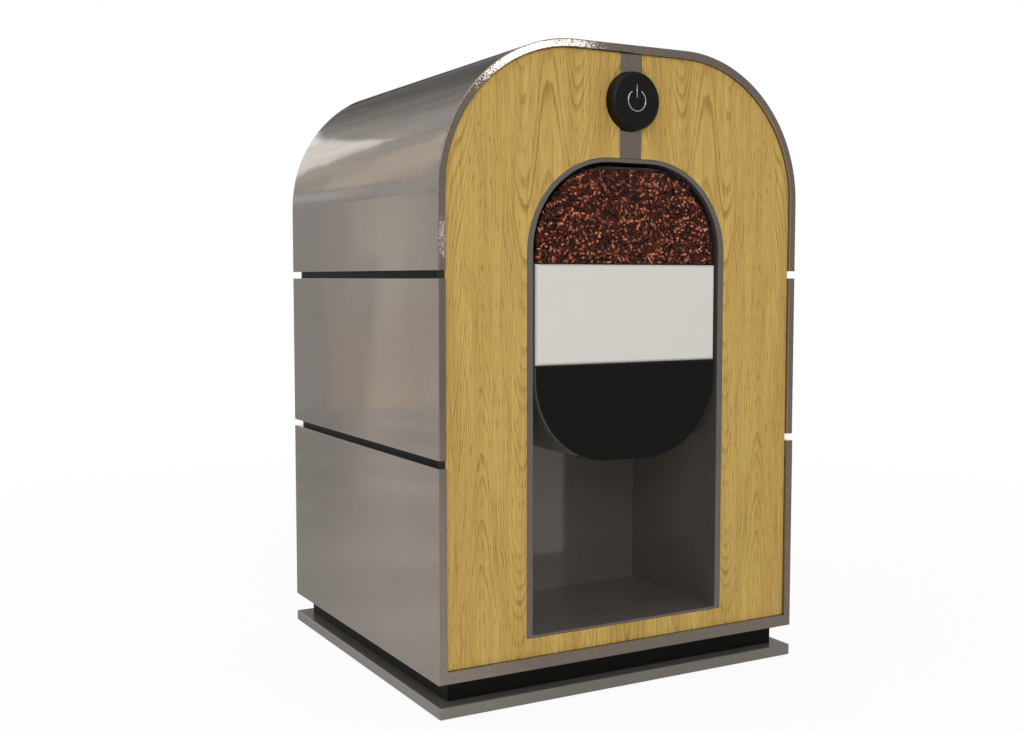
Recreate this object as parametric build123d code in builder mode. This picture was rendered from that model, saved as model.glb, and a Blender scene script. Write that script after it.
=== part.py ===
"""Roast-grind-brew coffee maker, an assembly of separate pieces in millimetres.

The front faces -Y and +Z is up. The origin lies on the table, under the middle of the box that holds the
object. Heights are measured from the table, and depths from the front rim of the shell.
"""

from build123d import *
from math import atan2, cos, degrees, hypot, pi, radians, sin, tan
import os

os.makedirs("parts", exist_ok=True)

# Body
width = 280
depth = 261
shell_height = 400
shell_corner_radius = 97
shell_wall = 5.2
shell_floor = 8
shell_edge = 0.5
groove_gap = 5
lower_groove = 134.3
upper_groove = 249.7

# Foot, base plate and plinth
foot_radius = 12
foot_proud = 1.3
foot_pocket_depth = 2.5
foot_clearance = 0.2
foot_from_edge = 30
base_plate_thickness = 7.5
plinth_height = 14
plinth_inset = 10
plinth_wall = 3

# Fascia
fascia_recess = 2.2
panel_thickness = 11
panel_clearance = 0.2
frame_thickness = 3
strip_width = 16.5
casing_wall = 3
rear_recess = 3
rear_cover_thickness = 3

# Niche, measured inside the liner, and the pod that hangs in it
niche_side_gap = 2.6
niche_top_gap = 3
niche_corner_gap = 2.7
niche_floor = 44.7
niche_depth = 103
liner_wall = 4.2
liner_crown = 2.6
liner_floor = 1.5
liner_back = 3
pod_half_width = 70.5
pod_bottom = 153.3
pod_top = 344.5
pod_radius = 55
pod_recess = 2.3
pod_front_thickness = 3.5
pod_wall = 2.5
pod_shelf = 2.5
shelf_lip = 1.5
pod_joint_high = 281.6
pod_joint_low = 217.1
pod_joint_gap = 0.4
cover_bevel = 1.5
window_thickness = 2
window_skirt_depth = 12
window_skirt_wall = 1

# Clearances
fit = 0.2
sliding_fit = 0.3
running_fit = 0.05
cover_clearance = 0.4
cut_margin = 1

# Power button
button_radius = 18.8
button_proud = 5
button_edge = 3
button_height = 386.8
button_travel = 1.5
button_hole_clearance = 0.4
button_flange = 1.6
button_flange_thickness = 2
button_stem_radius = 3
button_stem_length = 6.4
button_housing_wall = 3
button_housing_depth = 20
switch_size = 14
switch_plunger_radius = 2
switch_plunger_length = 0.9

# Filling lid and hopper
lid_width = 72
lid_length = 98
lid_from_front = 40
lid_thickness = 4.6
lid_gap = 0.5
lid_pin_radius = 1
lid_pin_socket = 5
lid_notch_radius = 11
lid_notch_depth = 3.6
hopper_wall = 1.5
hopper_inset = 3
hopper_throat = 34
hopper_throat_from_front = 64
hopper_corner = 8
hopper_neck_height = 14

# Roasting chamber
chamber_wall = 1.2
chamber_raise = 3
chamber_depth = 98
bean_clearance = 0.2
agitator_height = 312.5
agitator_shaft_radius = 4
agitator_reach = 21
agitator_room = 23
agitator_start = 30
paddle_lead = 2
paddle_count = 4
paddle_width = 10
paddle_thickness = 2
air_slot_count = 4
air_slot_length = 18
air_slot_width = 3
air_slot_pitch = 7
gate_hole = 24
gate_lap = 3
gate_thickness = 2.5
gate_travel = 30
gate_rod_radius = 1
gate_rod_overlap = 12
solenoid_size = 22
agitator_motor_radius = 18
agitator_motor_length = 40
motor_socket_depth = 9
motor_edge = 1.5

# Hot air
duct_width = 34
duct_height = 26
duct_wall = 1
heater_fin_count = 4
heater_fin_thickness = 1.2
air_middle = -44
scroll_radius = 42
scroll_width = 30
scroll_wall = 2
scroll_inlet_radius = 20
scroll_rear_gap = 5
wheel_radius = 33
wheel_width = 22
wheel_blade_count = 16
wheel_blade_depth = 7
wheel_blade_thickness = 1.4
wheel_blade_angle = 30
wheel_plate = 1.6
blower_shaft_radius = 2
blower_motor_radius = 20
blower_motor_length = 34

# Grinder
grinder_from_front = 54
burr_middle = -22
burr_shaft_radius = 4
burr_height = 18
burr_radius = 19.5
burr_top_radius = 10
burr_tooth_count = 12
burr_tooth_depth = 1.6
burr_tooth_lean = 0.15
burr_gap = 0.5
burr_twist = 35
sweeper_thickness = 1.5
sweeper_step = 2
ring_radius = 22
ring_mouth_radius = 18
carrier_wall = 3.5
sweep_height = 5
gear_module = 1.5
gear_teeth = 46
pinion_teeth = 14
gear_face = 8
gear_backlash = 0.2
gear_addendum = 0.9
gear_dedendum = 1.2
gear_pressure_angle = 20
gear_root_overlap = 0.5
grinder_length = 88
grinder_plate = 2.5
grinder_wall = 2
grinder_corner = 12
gear_room = 11.5
motor_radius = 18
motor_height = 43
motor_shaft_radius = 2.5
chute_width = 10
chute_height = 10
chute_wall = 1.2
chute_x = 12
chute_from_front = 22.3
chute_drop = 2

# Brewing
basket_from_front = 55
basket_radius = 42.5
basket_bottom_radius = 21
basket_height = 41.5
basket_wall = 1.6
basket_flange = 3.5
basket_flange_thickness = 2
basket_outlet_radius = 5
basket_outlet_length = 6.5
basket_outlet_bore = 3
basket_rib_count = 12
basket_rib_depth = 1.4
basket_rib_width = 1.4
basket_rib_below_rim = 5
basket_clearance = 1.85
carrier_thickness = 3
carrier_side_gap = 0.6
rail_thickness = 2.6
rail_width = 4
shower_radius = 24
shower_height = 6.5
shower_wall = 1.2
shower_hole_radius = 1
shower_hole_count = 12
shower_hole_circle = 17
shower_inlet_radius = 3
shower_inlet_bore = 1.8
shower_inlet_length = 56
spout_radius = 6
spout_bore = 4
spout_drop = 5.3
spout_flange_radius = 9
spout_flange_thickness = 1.5

# Water
tank_inlet_gap = 3
tank_depth = 72
tank_height = 150
tank_wall = 2.5
tank_corner = 8
tank_lift = 26
grip_width = 70
grip_height = 24
grip_depth = 16
grip_below_top = 22
nipple_radius = 6.8
nipple_bore = 4
nipple_length = 10
nipple_height = 15
dock_wall = 3
dock_front_thickness = 14
dock_front_height = 30
hose_radius = 3.5
hose_bore = 2
hose_bend = 12
stub_radius = 3.5
stub_length = 6
pump_middle = 38
pump_radius = 17
pump_length = 36
pump_saddle_width = 24
brew_hose_run = 30
heater_wall_gap = 6.8
heater_radius = 20
heater_length = 128
heater_stand = 8
heater_stub_from_end = 14
heater_edge = 3
heater_foot_radius = 3
heater_foot_inset = 4
heater_foot_count = 3

# Electrics and rear cover
board_length = 110
board_height = 110
board_thickness = 1.6
board_bottom = 180
board_rear_gap = 17
board_corner_inset = 6
board_standoff = 12
board_standoff_radius = 3
transformer_length = 34
transformer_height = 30
transformer_depth = 22
transformer_forward = 25
transformer_rise = 20
relay_length = 19
relay_height = 15
relay_depth = 15
relay_back = 28
relay_rise = 14
relay_pitch = 24
capacitor_radius = 7
capacitor_length = 20
capacitor_forward = 20
capacitor_drop = 30
capacitor_pitch = 20
inlet_width = 30
inlet_height = 24
inlet_depth = 22
inlet_wall = 2.4
inlet_flange = 5
inlet_flange_thickness = 2
inlet_corner = 3
inlet_from_wall = 36
inlet_z = 62
inlet_pin_length = 12
inlet_pin_width = 2
inlet_pin_height = 4
inlet_pin_pitch = 7
inlet_pin_rise = 2
inlet_earth_drop = 3
slot_count = 9
slot_pitch = 8
slot_length = 96
slot_height = 3.5
slot_middle = 330
screw_radius = 1.75
screw_head_radius = 3.4
screw_head_height = 1.5
screw_length = 10
screw_boss_radius = 5
screw_from_wall = 5
screw_heights = (60, 190, 320)

# Heights and places that follow from the sizes above
front = (button_proud - depth) / 2
middle = front + depth / 2
plate_top = foot_proud + base_plate_thickness
shell_bottom = plate_top + plinth_height
shell_top = shell_bottom + shell_height
lower_groove_low = shell_bottom + lower_groove
lower_groove_high = lower_groove_low + groove_gap
upper_groove_low = shell_bottom + upper_groove
upper_groove_high = upper_groove_low + groove_gap
inner_half_width = width / 2 - shell_wall
inner_bottom = shell_bottom + shell_floor
inner_top = shell_top - shell_wall
inner_radius = shell_corner_radius - shell_wall
frame_back = fascia_recess + panel_thickness + frame_thickness
rear_cover_front = depth - rear_recess - rear_cover_thickness
niche_half_width = pod_half_width + niche_side_gap
niche_roof = pod_top + niche_top_gap
niche_radius = pod_radius + niche_corner_gap
liner_half_width = niche_half_width + liner_wall
liner_bottom = niche_floor - liner_floor
liner_top = niche_roof + liner_crown
liner_radius = niche_radius + liner_wall
liner_rear = niche_depth + liner_back
pod_front_back = pod_recess + pod_front_thickness
window_back = pod_recess + window_thickness
housing_front = pod_front_back + fit
chamber_front = pod_recess + window_skirt_depth + fit
button_hole_radius = button_radius + button_hole_clearance
inlet_x = inner_half_width - inlet_from_wall
tank_width = 2 * (inlet_x - inlet_width / 2 - inlet_flange - tank_inlet_gap)


def upright(from_front):
    """Plane parallel to the front face, `from_front` mm behind it, its normal to the front."""
    return Plane.XZ.offset(-(front + from_front))


def level(height):
    """Horizontal plane at a height above the table."""
    return Plane.XY.offset(height)


def turned(x, y, height, angle=0):
    """Horizontal plane about a point, its axes turned by an angle."""
    return Plane(origin=(x, y, height), z_dir=(0, 0, 1)).rotated((0, 0, angle))


def save(piece, name):
    """Label one finished piece and write it."""
    piece.part.label = name
    export_step(piece.part, f"parts/{name}.step")


class Arch(BaseSketchObject):
    """Upright outline with rounded top corners, and rounded or square bottom corners."""

    def __init__(self, half_width, bottom, top, top_radius=0, bottom_radius=0, mode=Mode.ADD):
        with BuildSketch() as outline:
            with Locations((0, (bottom + top) / 2)):
                Rectangle(2 * half_width, top - bottom)
            if top_radius > 0:
                fillet(outline.vertices().group_by(Axis.Y)[-1], top_radius)
            if bottom_radius > 0:
                fillet(outline.vertices().group_by(Axis.Y)[0], bottom_radius)
        super().__init__(obj=outline.sketch, mode=mode)


class ShellBand(BaseSketchObject):
    """Front view of the shell's wall between two heights."""

    def __init__(self, low, high, mode=Mode.ADD):
        with BuildSketch() as band:
            Arch(width / 2, shell_bottom, shell_top, shell_corner_radius)
            Arch(inner_half_width, inner_bottom, inner_top, inner_radius, mode=Mode.SUBTRACT)
            with Locations((0, (low + high) / 2)):
                Rectangle(width, high - low, mode=Mode.INTERSECT)
        super().__init__(obj=band.sketch, mode=mode)


class Inside(BaseSketchObject):
    """Outline of what fits inside the shell with a gap all round."""

    def __init__(self, gap, mode=Mode.ADD):
        with BuildSketch() as outline:
            Arch(inner_half_width - gap, inner_bottom + gap, inner_top - gap, inner_radius - gap)
        super().__init__(obj=outline.sketch, mode=mode)


class PodOutline(BaseSketchObject):
    """Outline of the pod, drawn in by an inset, between two heights."""

    def __init__(self, inset=0, low=pod_bottom, high=pod_top, mode=Mode.ADD):
        with BuildSketch() as outline:
            Arch(pod_half_width - inset, pod_bottom + inset, pod_top - inset,
                 pod_radius - inset, pod_radius - inset)
            with Locations((0, (low + high) / 2)):
                Rectangle(2 * pod_half_width, high - low, mode=Mode.INTERSECT)
        super().__init__(obj=outline.sketch, mode=mode)


class GearOutline(BaseSketchObject):
    """Spur gear with straight-sided teeth, one tooth centred on local +X."""

    def __init__(self, teeth, mode=Mode.ADD):
        pitch_radius = gear_module * teeth / 2
        tip_radius = pitch_radius + gear_addendum * gear_module
        root_radius = pitch_radius - gear_dedendum * gear_module
        half_tooth = pi * gear_module / 4 - gear_backlash
        slope = tan(radians(gear_pressure_angle))
        root_half = half_tooth + (pitch_radius - root_radius) * slope
        tip_half = half_tooth - (tip_radius - pitch_radius) * slope
        with BuildSketch() as outline:
            Circle(root_radius)
            with PolarLocations(0, teeth):
                with BuildLine():
                    Polyline(
                        (root_radius - gear_root_overlap, -root_half),
                        (tip_radius, -tip_half),
                        (tip_radius, tip_half),
                        (root_radius - gear_root_overlap, root_half),
                        close=True,
                    )
                make_face()
        super().__init__(obj=outline.sketch, mode=mode)


class ToothedDisc(BaseSketchObject):
    """Disc with sawtooth flutes round it, standing out or let in."""

    def __init__(self, radius, count, depth_of_teeth, mode=Mode.ADD):
        step = 2 * pi / count
        points = []
        for tooth in range(count):
            angle = tooth * step
            root_angle = angle + burr_tooth_lean * step
            points.append((radius * cos(angle), radius * sin(angle)))
            points.append(((radius - depth_of_teeth) * cos(root_angle),
                           (radius - depth_of_teeth) * sin(root_angle)))
        with BuildSketch() as disc:
            with BuildLine():
                Polyline(*points, close=True)
            make_face()
        super().__init__(obj=disc.sketch, mode=mode)


# Feet, let into the base plate
foot_x = width / 2 - foot_from_edge
foot_y = depth / 2 - foot_from_edge
foot_places = {
    "foot_front_left": (-foot_x, middle - foot_y),
    "foot_front_right": (foot_x, middle - foot_y),
    "foot_rear_left": (-foot_x, middle + foot_y),
    "foot_rear_right": (foot_x, middle + foot_y),
}
for foot_name, place in foot_places.items():
    with BuildPart() as foot:
        with BuildSketch():
            with Locations(place):
                Circle(foot_radius)
        extrude(amount=foot_proud + foot_pocket_depth)
        chamfer(foot.edges().group_by(Axis.Z)[0], foot_proud / 2)
    save(foot, foot_name)

# Base plate
with BuildPart() as base_plate:
    with BuildSketch(level(foot_proud)):
        with Locations((0, middle)):
            Rectangle(width, depth)
    extrude(amount=base_plate_thickness)
    chamfer(base_plate.edges(), shell_edge)
    with BuildSketch(level(foot_proud)):
        with Locations(*foot_places.values()):
            Circle(foot_radius + foot_clearance)
    extrude(amount=foot_pocket_depth, mode=Mode.SUBTRACT)
save(base_plate, "base_plate")

# Plinth: a hollow neck that carries the body on the plate
with BuildPart() as plinth:
    with BuildSketch(level(plate_top)):
        with Locations((0, middle)):
            Rectangle(width - 2 * plinth_inset, depth - 2 * plinth_inset)
            Rectangle(width - 2 * (plinth_inset + plinth_wall), depth - 2 * (plinth_inset + plinth_wall),
                      mode=Mode.SUBTRACT)
    extrude(amount=plinth_height)
save(plinth, "plinth")

# Shell, in four pieces with open shadow gaps between them
with BuildPart() as lower_shell:
    with BuildSketch(upright(0)):
        ShellBand(shell_bottom, lower_groove_low)
    extrude(amount=-depth)
    rim = lower_shell.faces().sort_by(Axis.Y)[0]
    chamfer(rim.outer_wire().edges().group_by(Axis.Z)[0], shell_edge)
save(lower_shell, "lower_shell")

for side, plate_name in ((-1, "left_shell_plate"), (1, "right_shell_plate")):
    with BuildPart() as shell_plate:
        with BuildSketch(upright(0)):
            with Locations((side * (width - shell_wall) / 2, (lower_groove_high + upper_groove_low) / 2)):
                Rectangle(shell_wall, upper_groove_low - lower_groove_high)
        extrude(amount=-depth)
        chamfer(shell_plate.edges().filter_by(Axis.Z).group_by(Axis.Y)[0], shell_edge)
    save(shell_plate, plate_name)

lid_top = shell_top
lid_bottom = lid_top - lid_thickness
lid_edge_radius = lid_thickness / 2
lid_front_y = front + lid_from_front
lid_pivot_y = lid_front_y + lid_length - lid_edge_radius
lid_pivot_z = lid_top - lid_edge_radius

with BuildPart() as upper_shell:
    with BuildSketch(upright(0)):
        ShellBand(upper_groove_high, shell_top)
    extrude(amount=-depth)
    with BuildSketch(level(inner_top)):
        with Locations((0, lid_front_y + lid_length / 2)):
            Rectangle(lid_width + 2 * lid_gap, lid_length + 2 * lid_gap)
    extrude(amount=shell_wall, mode=Mode.SUBTRACT)
    with BuildSketch(level(shell_top)):
        with Locations((0, lid_front_y)):
            Circle(lid_notch_radius)
    extrude(amount=-lid_notch_depth, mode=Mode.SUBTRACT)
    with BuildSketch(Plane.YZ):
        with Locations((lid_pivot_y, lid_pivot_z)):
            Circle(lid_pin_radius + running_fit)
    extrude(amount=lid_width / 2 + lid_gap + lid_pin_socket, both=True, mode=Mode.SUBTRACT)
    rim = upper_shell.faces().sort_by(Axis.Y)[0]
    rim_edges = rim.outer_wire().edges().filter_by_position(Axis.Z, upper_groove_high + cut_margin, shell_top)
    chamfer(rim_edges, shell_edge)
save(upper_shell, "upper_shell")

# Filling lid: the rear edge is rounded about the hinge pin, so that the lid turns without a gap
with BuildPart() as bean_lid:
    with BuildSketch(Plane.YZ):
        with Locations(((lid_front_y + lid_pivot_y) / 2, lid_pivot_z)):
            Rectangle(lid_pivot_y - lid_front_y, lid_thickness)
        with Locations((lid_pivot_y, lid_pivot_z)):
            Circle(lid_edge_radius)
            Circle(lid_pin_radius + running_fit, mode=Mode.SUBTRACT)
    extrude(amount=lid_width / 2, both=True)
    chamfer(bean_lid.edges().filter_by(Axis.X).group_by(Axis.Y)[0].sort_by(Axis.Z)[-1], shell_edge)
save(bean_lid, "bean_lid")

with BuildPart() as lid_pin:
    with BuildSketch(Plane.YZ):
        with Locations((lid_pivot_y, lid_pivot_z)):
            Circle(lid_pin_radius)
    extrude(amount=lid_width / 2 + lid_gap + lid_pin_socket, both=True)
save(lid_pin, "lid_pin")

# Inner casing: black, seen at the bottom of the shadow gaps
hopper_mouth_width = lid_width - 2 * hopper_inset
hopper_mouth_length = lid_length - 2 * hopper_inset
lid_middle_y = lid_front_y + lid_length / 2
boss_x = inner_half_width - casing_wall - screw_from_wall
screw_places = [(side * boss_x, height) for side in (-1, 1) for height in screw_heights]

with BuildPart() as inner_casing:
    with BuildSketch(upright(frame_back + fit)):
        Inside(fit)
        Inside(fit + casing_wall, mode=Mode.SUBTRACT)
    extrude(amount=-(rear_cover_front - frame_back - fit))
    with BuildSketch(upright(rear_cover_front)):
        with Locations(*screw_places):
            Circle(screw_boss_radius)
    extrude(amount=2 * screw_length)
    with BuildSketch(upright(rear_cover_front)):
        with Locations(*screw_places):
            Circle(screw_radius)
    extrude(amount=screw_length, mode=Mode.SUBTRACT)
    with BuildSketch(level(inner_top)):
        with Locations((0, lid_middle_y)):
            Rectangle(hopper_mouth_width + 2 * fit, hopper_mouth_length + 2 * fit)
    extrude(amount=-(casing_wall + 2 * fit), mode=Mode.SUBTRACT)
save(inner_casing, "inner_casing")

# Frame behind the oak, with the niche's opening and the button's
with BuildPart() as front_frame:
    with BuildSketch(upright(frame_back - frame_thickness)):
        Inside(fit)
        Arch(liner_half_width + fit, liner_bottom - fit, liner_top + fit, liner_radius + fit,
             mode=Mode.SUBTRACT)
        with Locations((0, button_height)):
            Circle(button_hole_radius, mode=Mode.SUBTRACT)
    extrude(amount=-frame_thickness)
save(front_frame, "front_frame")

# Oak fascia: two mirrored halves, cut back for the niche, the centre strip and the button
for side, panel_name in ((-1, "wood_panel_left"), (1, "wood_panel_right")):
    with BuildPart() as wood_panel:
        with BuildSketch(upright(fascia_recess)):
            Inside(panel_clearance)
            Arch(liner_half_width + fit, liner_bottom - fit, liner_top + fit, liner_radius + fit,
                 mode=Mode.SUBTRACT)
            with Locations((0, (liner_top + inner_top) / 2)):
                Rectangle(strip_width + 2 * fit, inner_top - liner_top, mode=Mode.SUBTRACT)
            with Locations((0, button_height)):
                Circle(button_hole_radius, mode=Mode.SUBTRACT)
            with Locations((side * (width / 4 + fit / 4), (inner_bottom + inner_top) / 2)):
                Rectangle(width / 2 - fit / 2, inner_top - inner_bottom, mode=Mode.INTERSECT)
        extrude(amount=-panel_thickness)
    save(wood_panel, panel_name)

# Centre strip, above and below the button
strip_ends = (("centre_strip_upper", button_height, inner_top - fit),
              ("centre_strip_lower", liner_top + fit, button_height))
for strip_name, low, high in strip_ends:
    with BuildPart() as centre_strip:
        with BuildSketch(upright(fascia_recess)):
            with Locations((0, (low + high) / 2)):
                Rectangle(strip_width, high - low)
            with Locations((0, button_height)):
                Circle(button_hole_radius, mode=Mode.SUBTRACT)
        extrude(amount=-panel_thickness)
    save(centre_strip, strip_name)

# Power button: domed cap, retaining flange and stem
cap_back = frame_back + fit
with BuildPart() as power_button:
    with BuildSketch(upright(-button_proud)):
        with Locations((0, button_height)):
            Circle(button_radius)
    extrude(amount=-(button_proud + cap_back))
    fillet(power_button.faces().sort_by(Axis.Y)[0].edges(), button_edge)
    with BuildSketch(upright(cap_back)):
        with Locations((0, button_height)):
            Circle(button_radius + button_flange)
    extrude(amount=-button_flange_thickness)
    with BuildSketch(upright(cap_back + button_flange_thickness)):
        with Locations((0, button_height)):
            Circle(button_stem_radius)
    extrude(amount=-button_stem_length)
save(power_button, "power_button")

# Button housing: cup behind the frame that guides the flange
housing_radius = button_radius + button_flange + sliding_fit
housing_back = frame_back + button_housing_depth
stem_end = cap_back + button_flange_thickness + button_stem_length
with BuildPart() as button_housing:
    with BuildSketch(upright(frame_back)):
        with Locations((0, button_height)):
            Circle(housing_radius + button_housing_wall)
    extrude(amount=-button_housing_depth)
    with BuildSketch(upright(frame_back)):
        with Locations((0, button_height)):
            Circle(housing_radius)
    extrude(amount=-(button_housing_depth - button_housing_wall), mode=Mode.SUBTRACT)
save(button_housing, "button_housing")

with BuildPart() as power_switch:
    with BuildSketch(upright(housing_back - button_housing_wall)):
        with Locations((0, button_height)):
            Rectangle(switch_size, switch_size)
    switch_room = housing_back - button_housing_wall - stem_end - button_travel - sliding_fit
    extrude(amount=switch_room - switch_plunger_length)
    with BuildSketch(upright(housing_back - button_housing_wall)):
        with Locations((0, button_height)):
            Circle(switch_plunger_radius)
    extrude(amount=switch_room)
save(power_switch, "power_switch")

# Niche liner: rim, walls, floor and back in one piece
throat_y = front + hopper_throat_from_front
gate_y = front + grinder_from_front
shower_height_low = pod_joint_low - pod_shelf / 2 - shower_height
shower_inlet_z = shower_height_low + shower_height / 2
flange_top = shower_height_low - basket_clearance
flange_bottom = flange_top - basket_flange_thickness
carrier_height = flange_bottom - carrier_thickness
gate_z = pod_joint_high + pod_shelf / 2 + (chamber_raise - gate_thickness) / 2
duct_middle_z = agitator_height

with BuildPart() as niche_liner:
    with BuildSketch(upright(fascia_recess)):
        Arch(liner_half_width, liner_bottom, liner_top, liner_radius)
    extrude(amount=-(liner_rear - fascia_recess))
    with BuildSketch(upright(fascia_recess)):
        Arch(niche_half_width, niche_floor, niche_roof, niche_radius)
    extrude(amount=-(niche_depth - fascia_recess), mode=Mode.SUBTRACT)
    with BuildSketch(level(niche_roof - cut_margin)):
        with Locations((0, throat_y)):
            Rectangle(hopper_throat + 2 * fit, hopper_throat + 2 * fit)
    extrude(amount=liner_crown + 2 * cut_margin, mode=Mode.SUBTRACT)
    with BuildSketch(upright(niche_depth - cut_margin)):
        with Locations((air_middle, duct_middle_z)):
            Rectangle(duct_width - 2 * duct_wall, duct_height - 2 * duct_wall)
        with Locations((0, agitator_height)):
            Circle(agitator_shaft_radius + sliding_fit)
        with Locations((0, shower_inlet_z)):
            Circle(shower_inlet_radius + fit)
        with Locations((burr_middle, gate_z + gate_thickness / 2)):
            Circle(gate_rod_radius + sliding_fit)
    extrude(amount=-(liner_back + 2 * cut_margin), mode=Mode.SUBTRACT)
save(niche_liner, "niche_liner")

# Pod housing: open at the front, with two shelves, a lip and the rails of the brewing drawer
chute_y = front + chute_from_front
basket_y = front + basket_from_front
chute_outer = chute_width + 2 * chute_wall
rail_height = carrier_height - sliding_fit - rail_thickness
chamber_floor = pod_joint_high + pod_shelf / 2 + chamber_raise
lip_top = chamber_floor - fit

with BuildPart() as pod_housing:
    with BuildSketch(upright(housing_front)):
        PodOutline()
        PodOutline(inset=pod_wall, mode=Mode.SUBTRACT)
    extrude(amount=-(niche_depth - housing_front))
    with BuildSketch(upright(housing_front)):
        for joint in (pod_joint_low, pod_joint_high):
            with Locations((0, joint)):
                Rectangle(2 * pod_half_width - pod_wall, pod_shelf)
    extrude(amount=-(niche_depth - housing_front))
    with BuildSketch(upright(housing_front)):
        for side in (-1, 1):
            rail_x = side * (pod_half_width - pod_wall - rail_width / 2)
            with Locations((rail_x, rail_height + rail_thickness / 2)):
                Rectangle(rail_width + pod_wall, rail_thickness)
    extrude(amount=-(niche_depth - housing_front))
    with BuildSketch(upright(housing_front)):
        with Locations((0, (pod_joint_high + pod_top) / 2)):
            Rectangle(2 * pod_half_width, pod_top - pod_joint_high)
    extrude(amount=-(chamber_front - housing_front), mode=Mode.SUBTRACT)
    with BuildSketch(upright(chamber_front)):
        with Locations((0, (pod_joint_high + lip_top) / 2)):
            Rectangle(2 * pod_half_width - pod_wall, lip_top - pod_joint_high)
    extrude(amount=-shelf_lip)
    with BuildSketch(level(pod_top - pod_wall - cut_margin)):
        with Locations((0, throat_y)):
            Rectangle(hopper_throat + 2 * fit, hopper_throat + 2 * fit)
    extrude(amount=pod_wall + 2 * cut_margin, mode=Mode.SUBTRACT)
    with BuildSketch(level(pod_joint_high - pod_shelf)):
        with Locations((burr_middle, gate_y)):
            Rectangle(gate_hole, gate_hole)
    extrude(amount=2 * pod_shelf, mode=Mode.SUBTRACT)
    with BuildSketch(level(pod_joint_low - pod_shelf)):
        with Locations((chute_x, chute_y)):
            Rectangle(chute_outer + 2 * fit, chute_outer + 2 * fit)
    extrude(amount=2 * pod_shelf, mode=Mode.SUBTRACT)
    with BuildSketch(level(pod_bottom - cut_margin)):
        with Locations((0, basket_y)):
            Circle(spout_radius + fit)
    extrude(amount=pod_wall + 2 * cut_margin, mode=Mode.SUBTRACT)
save(pod_housing, "pod_housing")

# Fronts of the pod: glass, white cover and the black front of the drawer
window_bottom = pod_joint_high + pod_joint_gap / 2
with BuildPart() as bean_window:
    with BuildSketch(upright(pod_recess)):
        PodOutline(low=window_bottom)
    extrude(amount=-window_skirt_depth)
    with BuildSketch(upright(window_back)):
        PodOutline(inset=window_skirt_wall, low=window_bottom + window_skirt_wall)
    extrude(amount=-(window_skirt_depth - window_thickness), mode=Mode.SUBTRACT)
save(bean_window, "bean_window")

with BuildPart() as grinder_cover:
    with BuildSketch(upright(pod_recess)):
        PodOutline(low=pod_joint_low + pod_joint_gap / 2, high=pod_joint_high - pod_joint_gap / 2)
    extrude(amount=-pod_front_thickness)
    chamfer(grinder_cover.faces().sort_by(Axis.Y)[0].edges(), cover_bevel)
save(grinder_cover, "grinder_cover")

with BuildPart() as brew_front:
    with BuildSketch(upright(pod_recess)):
        PodOutline(high=pod_joint_low - pod_joint_gap / 2)
    extrude(amount=-pod_front_thickness)
    chamfer(brew_front.faces().sort_by(Axis.Y)[0].edges(), cover_bevel / 2)
save(brew_front, "brew_front")

# Roasting chamber: open to the window, with the gate's hole in its floor and air slots in its back
chamber_inset = pod_wall + fit
air_slots = GridLocations(air_slot_pitch, 0, air_slot_count, 1)

with BuildPart() as roast_chamber:
    with BuildSketch(upright(chamber_front)):
        PodOutline(inset=chamber_inset, low=chamber_floor)
    extrude(amount=-(chamber_depth - chamber_front))
    with BuildSketch(upright(chamber_front)):
        PodOutline(inset=chamber_inset + chamber_wall, low=chamber_floor + chamber_wall)
    extrude(amount=-(chamber_depth - chamber_front - chamber_wall), mode=Mode.SUBTRACT)
    with BuildSketch(level(pod_top - chamber_inset - chamber_wall - cut_margin)):
        with Locations((0, throat_y)):
            Rectangle(hopper_throat + 2 * fit, hopper_throat + 2 * fit)
    extrude(amount=chamber_wall + 2 * cut_margin, mode=Mode.SUBTRACT)
    with BuildSketch(level(chamber_floor - cut_margin)):
        with Locations((burr_middle, gate_y)):
            Rectangle(gate_hole, gate_hole)
    extrude(amount=chamber_wall + 2 * cut_margin, mode=Mode.SUBTRACT)
    with BuildSketch(upright(chamber_depth - chamber_wall - cut_margin)):
        with Locations((0, agitator_height)):
            Circle(agitator_shaft_radius + running_fit)
        with Locations((air_middle, duct_middle_z)):
            with air_slots:
                SlotOverall(air_slot_length, air_slot_width, rotation=90)
    extrude(amount=-(chamber_wall + 2 * cut_margin), mode=Mode.SUBTRACT)
save(roast_chamber, "roast_chamber")

# Beans: they fill the glass cover and the chamber, and leave the agitator its room
with BuildPart() as bean_charge:
    with BuildSketch(upright(window_back + bean_clearance)):
        PodOutline(inset=window_skirt_wall + bean_clearance,
                   low=window_bottom + window_skirt_wall + bean_clearance)
    extrude(amount=-(chamber_front - window_back - 2 * bean_clearance))
    with BuildSketch(upright(chamber_front - bean_clearance)):
        PodOutline(inset=chamber_inset + chamber_wall + bean_clearance,
                   low=chamber_floor + chamber_wall + bean_clearance)
    extrude(amount=-(chamber_depth - chamber_wall - chamber_front))
    with BuildSketch(upright(agitator_start - paddle_lead)):
        with Locations((0, agitator_height)):
            Circle(agitator_room)
    extrude(amount=-chamber_depth, mode=Mode.SUBTRACT)
save(bean_charge, "bean_charge")

# Agitator: a shaft with paddles set in a helix
motor_front = liner_rear
agitator_end = motor_front + motor_socket_depth - running_fit
paddle_pitch = (chamber_depth - agitator_start - paddle_width) / paddle_count
with BuildPart() as agitator:
    with BuildSketch(upright(agitator_start)):
        with Locations((0, agitator_height)):
            Circle(agitator_shaft_radius)
    extrude(amount=-(agitator_end - agitator_start))
    for index in range(paddle_count):
        with BuildSketch(upright(agitator_start + paddle_lead + index * paddle_pitch)):
            with Locations((0, agitator_height)):
                Rectangle(paddle_thickness, 2 * agitator_reach, rotation=index * 180 / paddle_count)
        extrude(amount=-paddle_width)
save(agitator, "agitator")

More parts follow.
